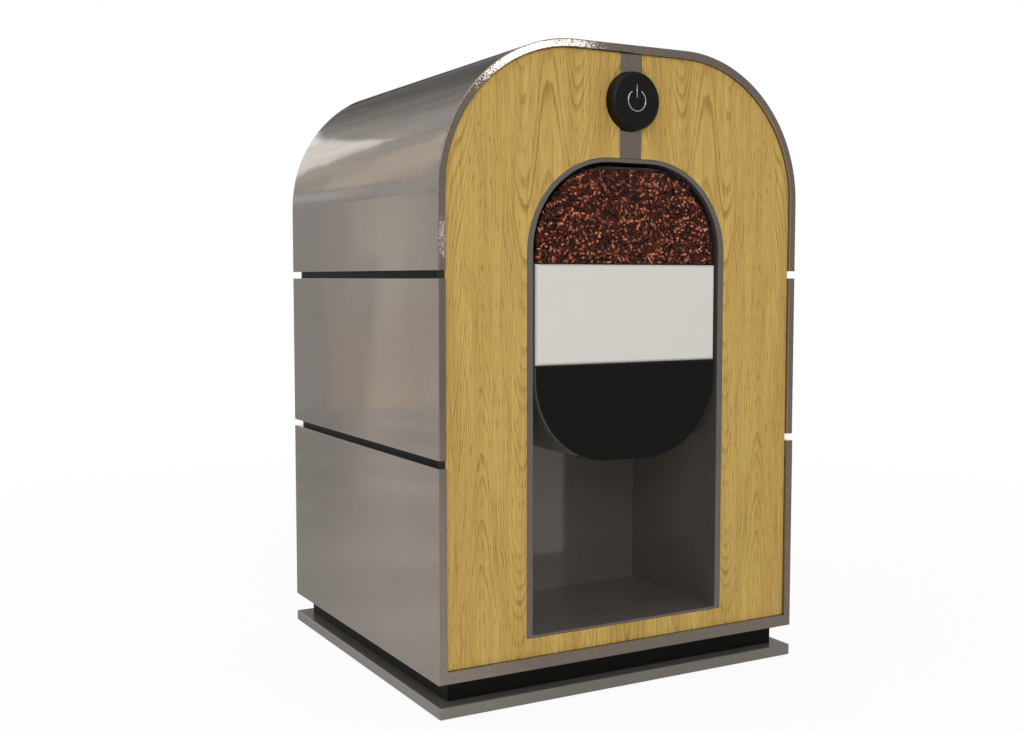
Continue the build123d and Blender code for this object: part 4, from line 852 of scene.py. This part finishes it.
def as_mesh(name: str, shape: Shape) -> bpy.types.Mesh:
    """Turn a finished shape into a mesh, and free the shape.

    Args:
        name: The mesh's name.
        shape: The shape.

    Returns:
        The new mesh.
    """
    mesh = bpy.data.meshes.new(name)
    shape.to_mesh(mesh)
    shape.free()
    return mesh


def as_object(name: str, data: bpy.types.ID) -> bpy.types.Object:
    """Make an object of a mesh, lamp or camera and put it into the scene.

    Args:
        name: The object's name.
        data: The mesh, lamp or camera.

    Returns:
        The new object.
    """
    made = bpy.data.objects.new(name, data)
    bpy.context.scene.collection.objects.link(made)
    return made


def as_piece(name: str, shape: Shape, finish: Finish, body: str, smooth: bool = True) -> bpy.types.Object:
    """Make an object of a finished shape, dress it and let it ride on its body.

    Args:
        name: The piece's name.
        shape: The shape, which is freed.
        finish: The piece's finish.
        body: The body that carries it.
        smooth: Whether its faces are shaded smoothly.

    Returns:
        The new object.
    """
    for face in shape.faces:
        face.smooth = smooth
    mesh = as_mesh(name, shape)
    mesh.materials.append(finish.material())
    made = as_object(name, mesh)
    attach(made, body)
    LOG.info("new piece %s: %d faces on body %s", name, len(mesh.polygons), body)
    return made


def merged_copy(node: bpy.types.Object) -> Shape:
    """Copy a node's loose triangles and merge their corners.

    Args:
        node: The node, which is left alone.

    Returns:
        The copy.
    """
    shape = bmesh.new()
    shape.from_mesh(node.data)
    bmesh.ops.remove_doubles(shape, verts=shape.verts, dist=MERGE_DISTANCE)
    return shape


def add_rod(shape: Shape, radius: float, length: float, sides: int, matrix: Matrix) -> list[bmesh.types.BMVert]:
    """Add a closed rod that lies along its own Z, and return its vertices."""
    return bmesh.ops.create_cone(shape, cap_ends=True, segments=sides, radius1=radius, radius2=radius, depth=length,
                                 matrix=matrix)["verts"]


@dataclass
class SubAssembly:
    """A group of nodes that belong together, with what is added to them.

    Attributes:
        nodes: All nodes of the frame, by name.
        palette: The finishes.
        outfit: The nodes that take each finish.
    """

    nodes: dict[str, bpy.types.Object]
    palette: Palette
    outfit: ClassVar[dict[str, tuple[str, ...]]]

    def build(self) -> None:
        """Dress the nodes and add the new pieces."""
        for title, names in self.outfit.items():
            finish = getattr(self.palette, title)
            for name in names:
                slots = self.nodes[name].data.materials
                slots.clear()
                slots.append(finish.material())
            LOG.info("%s on %s", finish.name, ", ".join(names))
        self.add_pieces()

    def add_pieces(self) -> None:
        """Add the new pieces, where there are any."""


@dataclass
class Housing(SubAssembly):
    """Shell, feet, base, inner casing, rear cover and the lid in the top."""

    outfit = {
        "lacquer": ("lower_shell", "left_shell_plate", "right_shell_plate", "upper_shell", "bean_lid"),
        "base": ("base_plate",),
        "black": ("plinth", "inner_casing", "front_frame"),
        "cover": ("rear_cover",),
        "rubber": ("foot_front_left", "foot_front_right", "foot_rear_left", "foot_rear_right"),
        "steel": ("lid_pin", "cover_screws"),
    }
    head_radius: float = 0.0034
    head_height: float = 0.0015
    head_edge: float = 0.0004
    shank_radius: float = 0.0017
    shank_length: float = 0.010
    slot_half_width: float = 0.00035
    slot_reach: float = 0.0019
    slot_depth: float = 0.0009

    def add_pieces(self) -> None:
        """Model the cross-head screws where the rear cover's plain ones are."""
        shape = bmesh.new()
        for place in self.screw_places():
            self.add_screw(shape, place)
        screws = as_piece("cross_head_screws", shape, self.palette.steel, "body", smooth=False)
        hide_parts("cover_screws")

    def screw_places(self) -> list[Vector]:
        """Find the middle of each screw's head in the node's own mesh.

        Returns:
            The middles, from the left to the right and upwards.
        """
        shape = merged_copy(self.nodes["cover_screws"])
        rear = max(vertex.co.y for vertex in shape.verts)
        heads: list[list[Vector]] = []
        for point in (vertex.co.copy() for vertex in shape.verts if vertex.co.y > rear - 10 * MERGE_DISTANCE):
            own = [points for points in heads if (points[0] - point).length < 3 * self.head_radius]
            if own:
                own[0].append(point)
            else:
                heads.append([point])
        shape.free()
        middles = [sum(points, Vector()) / len(points) for points in heads]
        return sorted(middles, key=lambda middle: (round(middle.x, 4), middle.z))

    def add_screw(self, shape: Shape, place: Vector) -> None:
        """Add one screw to a shape.

        Args:
            shape: The shape that all screws share.
            place: The middle of the head's outer face.
        """
        upright = Matrix.Rotation(math.radians(-90), 4, "X")
        sunk = Matrix.Translation(place - Vector((0, self.head_height / 2, 0)))
        head = add_rod(shape, self.head_radius, self.head_height, 24, sunk @ upright)
        outer = max((face for vertex in head for face in vertex.link_faces),
                    key=lambda face: face.calc_center_median().y)
        bmesh.ops.bevel(shape, geom=list(outer.edges), offset=self.head_edge, offset_type="OFFSET", segments=3,
                        profile=0.5, affect="EDGES", material=-1)
        for axis in (Vector((1, 0, 0)), Vector((0, 0, 1))):
            for reach in (self.slot_half_width, self.slot_reach):
                for side in (-1, 1):
                    top = [face for face, off in self.outer_faces(shape, place) if off.length < self.head_radius]
                    geometry = dict.fromkeys(item for face in top for item in (face, *face.edges, *face.verts))
                    bmesh.ops.bisect_plane(shape, geom=list(geometry), plane_co=place + side * reach * axis,
                                           plane_no=axis)
        cross = [face for face, off in self.outer_faces(shape, place) if self.in_slot(abs(off.x), abs(off.z))]
        pushed = bmesh.ops.extrude_face_region(shape, geom=cross)["geom"]
        bmesh.ops.translate(shape, vec=Vector((0, -self.slot_depth, 0)),
                            verts=[item for item in pushed if isinstance(item, bmesh.types.BMVert)])
        bmesh.ops.delete(shape, geom=[face for face in cross if face.is_valid], context="FACES_ONLY")
        middle = Matrix.Translation(place - Vector((0, self.head_height + self.shank_length / 2, 0)))
        add_rod(shape, self.shank_radius, self.shank_length, 16, middle @ upright)

    def outer_faces(self, shape: Shape, place: Vector) -> list[tuple[bmesh.types.BMFace, Vector]]:
        """Find the faces in a head's outer plane, each with its way from the middle."""
        offs = [(face, face.calc_center_median() - place) for face in shape.faces]
        return [(face, off) for face, off in offs if abs(off.y) < MERGE_DISTANCE]

    def in_slot(self, across: float, height: float) -> bool:
        """Tell whether a place on the head lies in the cross."""
        low, high = sorted((across, height))
        return low < self.slot_half_width and high < self.slot_reach


@dataclass
class Fascia(SubAssembly):
    """Oak front, centre strip and the niche for the cup."""

    outfit = {"oak": ("wood_panel_left", "wood_panel_right"), "niche": ("niche_liner",),
              "lacquer": ("centre_strip_upper", "centre_strip_lower")}


@dataclass
class PowerButton(SubAssembly):
    """Push button with its guide and switch, and the power mark on its cap."""

    outfit = {"cap": ("power_button",), "black": ("button_housing", "power_switch")}
    mark_radius: float = 0.00675
    mark_half_width: float = 0.00038
    mark_height: float = 0.00018
    mark_opening: float = 60.0
    bar_low: float = 0.0018
    bar_high: float = 0.0101

    def add_pieces(self) -> None:
        """Model the mark: an open ring and an upright bar, both half round."""
        low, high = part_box("power_button")
        centre = Vector(((low.x + high.x) / 2, low.y, (low.z + high.z) / 2))
        section = Matrix.Diagonal((self.mark_half_width, self.mark_height, 1.0, 1.0))
        start = Matrix.Rotation(math.radians(self.mark_opening / 2), 4, "Y")
        out = Matrix.Translation((0, 0, self.mark_radius)) @ Matrix.Rotation(math.radians(-90), 4, "Y")
        shape = bmesh.new()
        ring = bmesh.ops.create_circle(shape, cap_ends=False, segments=12, radius=1.0,
                                       matrix=Matrix.Translation(centre) @ start @ out @ section)["verts"]
        outline = dict.fromkeys(item for vertex in ring for item in (vertex, *vertex.link_edges))
        bmesh.ops.spin(shape, geom=list(outline), cent=centre, axis=Vector((0, 1, 0)),
                       angle=math.radians(360 - self.mark_opening), steps=48, use_merge=False)
        bmesh.ops.holes_fill(shape, edges=[edge for edge in shape.edges if edge.is_boundary], sides=0)
        middle = Matrix.Translation(centre + Vector((0, 0, (self.bar_low + self.bar_high) / 2)))
        add_rod(shape, 1.0, self.bar_high - self.bar_low, 12, middle @ section)
        bmesh.ops.recalc_face_normals(shape, faces=shape.faces)
        as_piece("power_mark", shape, self.palette.mark, "button")


@dataclass
class Roaster(SubAssembly):
    """Pod with its window, the chamber behind it, the beans, the agitator and the hot air.

    Attributes:
        layers: Depth of each layer of beans, and how much wider than usual they lie apart in it.
        core_share: The core's size as a share of the charge's.
    """

    outfit = {
        "pod": ("pod_housing",),
        "pane": ("bean_window",),
        "steel": ("roast_chamber", "agitator", "air_heater", "bean_gate"),
        "motor": ("agitator_motor", "gate_solenoid", "blower_motor"),
        "black": ("blower_housing", "blower_wheel"),
        "dark": ("hopper_funnel",),
        "beans": ("bean_charge",),
    }
    bean_size: Point = (0.0021, 0.0016, 0.0013)
    flat_side: float = 0.7
    cut_floor: float = 0.35
    cut_half_width: float = 0.05
    cut_from: float = -0.1
    tilt: float = 0.5
    pitch: float = 0.0016
    row_pitch: float = 0.00135
    shift: float = 0.2
    depth_shift: float = 0.0003
    growth: Span = (0.86, 1.12)
    tones: Span = (0.6, 1.1)
    margin: float = 0.0002
    corner_radius: float = 0.0525
    layers: tuple[Span, ...] = ((0.0013, 1.0), (0.0024, 1.35))
    core_share: Point = (0.99, 0.94, 0.97)
    seed: int = 7

    def one_bean(self) -> bpy.types.Mesh:
        """Model one bean: an oval with a flatter side and a cut along it.

        Returns:
            The bean's mesh, with its tone and its cut as values of its points.
        """
        shape = bmesh.new()
        bmesh.ops.create_uvsphere(shape, u_segments=6, v_segments=4, radius=0.5,
                                  matrix=Matrix.Rotation(math.radians(90), 4, "Y"))
        shape.verts.layers.float.new("tone")
        cut = shape.verts.layers.float.new("cut")
        for vertex in shape.verts:
            vertex[cut] = float(vertex.co.z < self.cut_from and abs(vertex.co.y) < self.cut_half_width)
            if vertex.co.z < 0:
                vertex.co.z *= self.cut_floor if vertex[cut] else self.flat_side
        bmesh.ops.scale(shape, vec=Vector(self.bean_size), verts=shape.verts)
        return as_mesh("bean", shape)

    def core(self) -> bpy.types.Mesh:
        """Model the inside of the pile, which lies just under the beans.

        Returns:
            A slightly smaller copy of the charge, with the same values of its points.
        """
        shape = merged_copy(self.nodes["bean_charge"])
        shape.verts.layers.float.new("tone")
        shape.verts.layers.float.new("cut")
        low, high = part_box("bean_charge")
        bmesh.ops.scale(shape, vec=Vector(self.core_share), verts=shape.verts,
                        space=Matrix.Translation(-(low + high) / 2))
        return as_mesh("core", shape)

    def add_pieces(self) -> None:
        """Lay layers of beans behind the window, on a core that fills the rest of the chamber."""
        shape = bmesh.new()
        shape.from_mesh(self.core())
        bean = self.one_bean()
        low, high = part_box("bean_charge")
        chance = random.Random(self.seed)
        count = 0
        for depth, spread in self.layers:
            for across, height in self.places(low, high, spread, chance):
                roll = Matrix.Rotation(chance.uniform(0, math.tau), 4, "X")
                lean = Matrix.Rotation(chance.uniform(-self.tilt, self.tilt), 4, "Z")
                turn = Matrix.Rotation(chance.uniform(0, math.tau), 4, "Y") @ lean @ roll
                inward = low.y + depth + chance.uniform(-1, 1) * self.depth_shift
                laid = bean.copy()
                laid.transform(Matrix.Translation((across, inward, height)) @ turn
                               @ Matrix.Scale(chance.uniform(*self.growth), 4))
                tone = laid.attributes["tone"].data
                tone.foreach_set("value", [chance.betavariate(*self.tones)] * len(tone))
                shape.from_mesh(laid)
                bpy.data.meshes.remove(laid)
                count += 1
        LOG.info("%d beans lie behind the window", count)
        pile = as_piece("bean_pile", shape, self.palette.beans, "body")
        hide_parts("bean_charge")

    def places(self, low: Vector, high: Vector, spread: float, chance: random.Random) -> Iterator[Span]:
        """Spread places over the charge's front outline, in rows set off from each other.

        Args:
            low: The charge's lowest corner.
            high: The charge's highest corner.
            spread: How much wider than usual the beans lie apart.
            chance: The source of the small shifts.

        Yields:
            Place across and height of each bean.
        """
        right, top = high.x - self.margin, high.z - self.margin
        pitch, row_pitch = self.pitch * spread, self.row_pitch * spread
        for row in range(int((high.z - low.z) / row_pitch) + 1):
            for column in range(int((high.x - low.x) / pitch) + 1):
                moved = column + 0.5 * (row % 2) + chance.uniform(-self.shift, self.shift)
                x = low.x + self.margin + moved * pitch
                z = low.z + self.margin + (row + chance.uniform(-self.shift, self.shift)) * row_pitch
                past_x = max(0.0, abs(x) - (right - self.corner_radius))
                past_z = max(0.0, z - (top - self.corner_radius))
                in_arch = not (past_x and past_z) or math.hypot(past_x, past_z) <= self.corner_radius
                if abs(x) < right and z < top and in_arch:
                    yield x, z


@dataclass
class Grinder(SubAssembly):
    """Cover, burrs, reduction gear, motor and chute."""

    outfit = {"white": ("grinder_cover",), "dark": ("grinder_housing", "grounds_chute"),
              "burr": ("inner_burr", "ring_burr"), "nylon": ("burr_gear", "motor_pinion"), "motor": ("grinder_motor",)}


@dataclass
class Brewer(SubAssembly):
    """Drawer with the filter basket, shower head and spout."""

    outfit = {"drawer": ("brew_front",), "black": ("basket_carrier", "filter_basket", "coffee_spout"),
              "steel": ("shower_head",)}


@dataclass
class WaterSystem(SubAssembly):
    """Tank with its grip, dock, pump, heater and hoses."""

    outfit = {"smoked": ("water_tank",), "black": ("tank_dock", "tank_handle"), "motor": ("water_pump",),
              "cast": ("water_heater",), "hose": ("supply_hose", "pressure_hose", "brew_hose")}


@dataclass
class Electrics(SubAssembly):
    """Control board and appliance inlet."""

    outfit = {"board": ("control_board",), "cover": ("power_inlet",)}


@dataclass
class Lamp:
    """One soft rectangular lamp.

    Attributes:
        name: The lamp's name.
        place: Where it stands.
        aim: What it points at.
        size: Its width and height.
        level: The brightness that a white surface gets from it at the aim.
        tint: Its colour.
    """

    name: str
    place: Point
    aim: Point
    size: Span
    level: float
    tint: Point = (1.0, 1.0, 1.0)

    def build(self) -> None:
        """Set the lamp up."""
        data = bpy.data.lights.new(self.name, "AREA")
        data.shape = "RECTANGLE"
        data.size, data.size_y = self.size
        away = Vector(self.place) - Vector(self.aim)
        data.energy = self.level * math.pi ** 2 * away.length_squared
        data.color = self.tint
        made = as_object(self.name, data)
        made.location = self.place
        made.rotation_euler = away.to_track_quat("Z", "Y").to_euler()


@dataclass(frozen=True)
class Reflection:
    """A soft-edged wall, window or screen of the room, as gloss shows it.

    Attributes:
        turn: Where it starts and ends sideways, in degrees from +Y towards +X.
        rise: Where it starts and ends above the horizon, in degrees.
        level: Its brightness.
        softness: How far its edges blur, in degrees.
        slant: How far it moves sideways for each degree upwards.
        tint: Its colour.
    """

    turn: Span
    rise: Span
    level: float
    softness: float = 1.0
    slant: float = 0.0
    tint: Point = (1.0, 1.0, 1.0)

    def over(self, tree: Tree, turn: Value, rise: Value, ground: Value) -> Socket:
        """Lay it over what lies behind.

        Args:
            tree: The world's tree.
            turn: The direction sideways, in degrees.
            rise: The direction upwards, in degrees.
            ground: What lies behind.

        Returns:
            The colour with this over it.
        """
        straight = tree.minus(turn, tree.times(tree.minus(rise, self.rise[0]), self.slant))
        mask = tree.times(self.inside(tree, straight, self.turn), self.inside(tree, rise, self.rise))
        red, green, blue = (self.level * part for part in self.tint)
        return tree.mix(mask, ground, (red, green, blue, 1.0))

    def inside(self, tree: Tree, value: Value, limits: Span) -> Socket:
        """Rise to 1 between two limits.

        Args:
            tree: The world's tree.
            value: The direction, in degrees.
            limits: Where it starts and ends.

        Returns:
            The share that it takes.
        """
        half = self.softness / 2
        enter, leave = (tree.step(value, limit - half, limit + half) for limit in limits)
        return tree.minus(enter, leave)


@dataclass
class Studio:
    """Floor, world, lamps and camera.

    Attributes:
        floor_span: Where the floor's shadow starts to fade and where it is gone, from the middle.
        floor_share: How much of the floor near the object is plain white rather than lit.
        floor_gloss: The floor's brightness in gloss, on the left and behind the object; the lower level behind it is a
            painted shadow.
        behind: Where the painted shadow in gloss starts and ends behind the object, along a line across the view.
        behind_slant: How far that line turns from +Y.
        surround: The even light from all sides.
        room_rise: Between which heights, in degrees, the low room turns to the high one.
        low_room: Brightness of the room near the horizon, by degrees sideways.
        high_room: Brightness of the room higher up.
    """

    camera_place: Point = (-0.46274, -0.79831, 0.27241)
    camera_pitch: float = 3.995
    camera_yaw: float = 29.112
    lens: float = 43.498
    floor_size: float = 3.2
    floor_colour: Colour = (0.86, 0.86, 0.86, 1.0)
    floor_span: Span = (0.35, 1.3)
    floor_share: float = 0.92
    floor_gloss: Span = (0.78, 0.5)
    floor_veil: Pattern = Pattern((9.0, 5.0, 1.0))
    veil_level: Span = (0.5, 0.75)
    behind: Span = (-0.2, -0.08)
    behind_slant: float = 0.404
    surround: float = 0.62
    room_rise: Span = (2.0, 20.0)
    low_room: Sequence[Span] = ((-180, 0.5), (-120, 0.8), (-60, 0.85), (-30, 0.9), (-24.5, 0.87), (-22, 0.66),
                                (-20, 0.56), (-16, 0.56), (-5, 0.7), (14, 0.85), (30, 0.9), (60, 0.7), (100, 0.42),
                                (150, 0.46), (180, 0.5))
    high_room: Sequence[Span] = ((-180, 0.5), (-90, 0.8), (-30, 1.0), (-20, 0.95), (-16, 0.74), (-12, 0.74),
                                 (-8, 0.62), (-4, 0.48), (0, 0.37), (4, 0.29), (8, 0.21), (12, 0.14), (20, 0.13),
                                 (30, 0.2), (60, 0.3), (100, 0.35), (150, 0.44), (180, 0.5))
    room_veil: Pattern = Pattern((22.0, 22.0, 5.0))
    veil_span: Span = (0.3, 0.7)
    veil_change: Span = (0.88, 1.12)
    warmth: Pattern = Pattern((16.0, 16.0, 6.0), (3.0, 1.0, 0.0), 1.0)
    warmth_span: Span = (0.38, 0.62)
    cool: Colour = (0.97, 1.0, 1.03, 1.0)
    warm: Colour = (1.04, 1.0, 0.95, 1.0)
    reflections: Sequence[Reflection] = (
        Reflection((-25.2, -22.4), (-18, 4), 0.88, 0.8, 0.03, (1.04, 1.0, 0.95)),
        Reflection((-22.0, -21.2), (-14, 1), 0.7, 0.6, -0.06, (1.03, 1.0, 0.96)),
        Reflection((-23.6, -18.4), (8.5, 26), 0.95, 1.6, 0.12, (1.05, 1.0, 0.94)),
        Reflection((-40, -15), (5.4, 7.8), 0.84, 1.2, 0.0, (0.97, 1.0, 1.03)),
        Reflection((-40, -15), (4.0, 4.8), 0.62, 0.5),
        Reflection((-15.6, -1), (8, 21.3), 1.4, 0.7, 0.25),
        Reflection((17, 50), (-2, 12.5), 0.85, 2.0),
        Reflection((16, 40), (13.5, 16.5), 0.05, 1.5),
    )
    lamps: Sequence[Lamp] = (
        Lamp("key", (-0.9, -2.2, 1.5), (0.0, 0.0, 0.2), (1.4, 1.4), 0.34),
        Lamp("overhead", (-0.3, 0.1, 2.4), (0.0, 0.0, 0.2), (1.8, 1.8), 0.25),
        Lamp("side", (-2.3, 0.3, 1.1), (0.0, 0.0, 0.2), (1.2, 1.4), 0.10),
        Lamp("glint", (2.4, -4.417, 1.3), (-0.055, -0.13, 0.41), (0.44, 0.16), 0.0075, (0.93, 1.0, 1.07)),
        Lamp("spark", (2.05, -4.63, 0.46), (-0.137, -0.13, 0.24), (0.06, 0.08), 0.0003),
    )

    def build(self) -> None:
        """Set up the camera first, and then what it sees."""
        self.add_camera()
        self.add_floor()
        self.add_world()
        for lamp in self.lamps:
            lamp.build()
        bpy.context.scene.view_settings.view_transform = "Standard"

    def add_camera(self) -> None:
        """Stand the camera where the photograph was taken from."""
        data = bpy.data.cameras.new("camera")
        data.sensor_fit = "HORIZONTAL"
        data.sensor_width = 36.0
        data.lens = self.lens
        data.clip_start, data.clip_end = 0.01, 60.0
        made = as_object("camera", data)
        made.location = self.camera_place
        made.rotation_euler = Euler((math.radians(90 - self.camera_pitch), 0.0, math.radians(-self.camera_yaw)))
        bpy.context.scene.camera = made

    def add_floor(self) -> None:
        """Lay a white floor that keeps a faint shadow."""
        shape = bmesh.new()
        bmesh.ops.create_grid(shape, x_segments=1, y_segments=1, size=self.floor_size / 2)
        mesh = as_mesh("floor", shape)
        as_object("floor", mesh)
        made = bpy.data.materials.new("pale floor")
        made.use_nodes = True
        mesh.materials.append(made)
        tree = Tree(made.node_tree)
        shader = made.node_tree.nodes["Principled BSDF"]
        tree.feed(shader, Base_Color=self.floor_colour, Roughness=0.9, Specular_IOR_Level=0.0)
        place = tree.place()
        reach = tree.vector_math("LENGTH", {0: place}, "Value")
        share = tree.remap(reach, self.floor_span, (self.floor_share, 1.0), "SMOOTHSTEP")
        split = tree.split(place)
        # Painted shadow: the floor as gloss shows it is darker behind the object, and dimmed unevenly by the veil.
        behind = tree.step(tree.scaled(split["Y"], self.behind_slant, split["X"]), *self.behind)
        gloss = tree.scaled(behind, self.floor_gloss[1] - self.floor_gloss[0], self.floor_gloss[0])
        painted_floor_shadow = tree.times(gloss, tree.scaled(self.floor_veil.over(tree, place), *self.veil_level))
        path = tree.node("LightPath").outputs
        colour = tree.mix(path["Is Glossy Ray"], WHITE, tree.join(painted_floor_shadow, painted_floor_shadow, painted_floor_shadow))
        glow = tree.node("Emission", {"Color": colour, "Strength": 1.0}).outputs[0]
        clear = tree.math("MAXIMUM", path["Is Camera Ray"], path["Is Transmission Ray"])
        seen = tree.math("MAXIMUM", clear, path["Is Glossy Ray"])
        both = tree.node("MixShader", {0: tree.times(seen, share), 1: shader.outputs[0], 2: glow})
        tree.feed(made.node_tree.nodes["Material Output"], Surface=both.outputs[0])

    def add_world(self) -> None:
        """Surround the object with even light, show a white backdrop to the camera and in glass, and the room's walls
        and windows in gloss.
        """
        world = bpy.data.worlds.new("surround")
        world.use_nodes = True
        bpy.context.scene.world = world
        tree = Tree(world.node_tree)
        way = tree.node("TexCoord").outputs["Generated"]
        split = tree.split(way)
        turn = tree.math("DEGREES", tree.math("ARCTAN2", split["X"], split["Y"]))
        rise = tree.math("DEGREES", tree.math("ARCSINE", split["Z"]))
        place = tree.scaled(turn, 1 / 360, 0.5)
        low, high = (tree.ramp(place, *self.grey(levels)) for levels in (self.low_room, self.high_room))
        room = tree.mix(tree.step(rise, *self.room_rise), low, high)
        for reflection in self.reflections:
            room = reflection.over(tree, turn, rise, room)
        drift = tree.remap(self.room_veil.over(tree, way), self.veil_span, self.veil_change)
        tint = tree.mix(tree.step(self.warmth.over(tree, way), *self.warmth_span), self.cool, self.warm)
        shade = tree.mix(1.0, tint, tree.join(drift, drift, drift), "MULTIPLY")
        path = tree.node("LightPath").outputs
        even = (self.surround, self.surround, self.surround, 1.0)
        lit = tree.mix(path["Is Glossy Ray"], even, tree.mix(1.0, room, shade, "MULTIPLY"))
        clear = tree.math("MAXIMUM", path["Is Camera Ray"], path["Is Transmission Ray"])
        tree.feed(world.node_tree.nodes["Background"], Color=tree.mix(clear, lit, WHITE))

    def grey(self, levels: Sequence[Span]) -> list[tuple[float, Colour]]:
        """Stops of a full turn's ramp from plain brightness levels."""
        return [(turn / 360 + 0.5, (level, level, level, 1.0)) for turn, level in levels]


def main() -> None:
    """Load the frame, dress each sub-assembly in order and set up the studio."""
    logging.basicConfig(level=logging.INFO, format="%(name)s: %(message)s")
    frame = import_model()
    palette = Palette()
    Studio().build()
    for kind in (Housing, Fascia, PowerButton, Roaster, Grinder, Brewer, WaterSystem, Electrics):
        kind(frame["nodes"], palette).build()
        LOG.info("%s is finished", kind.__name__)


if __name__ == "__main__":
    main()
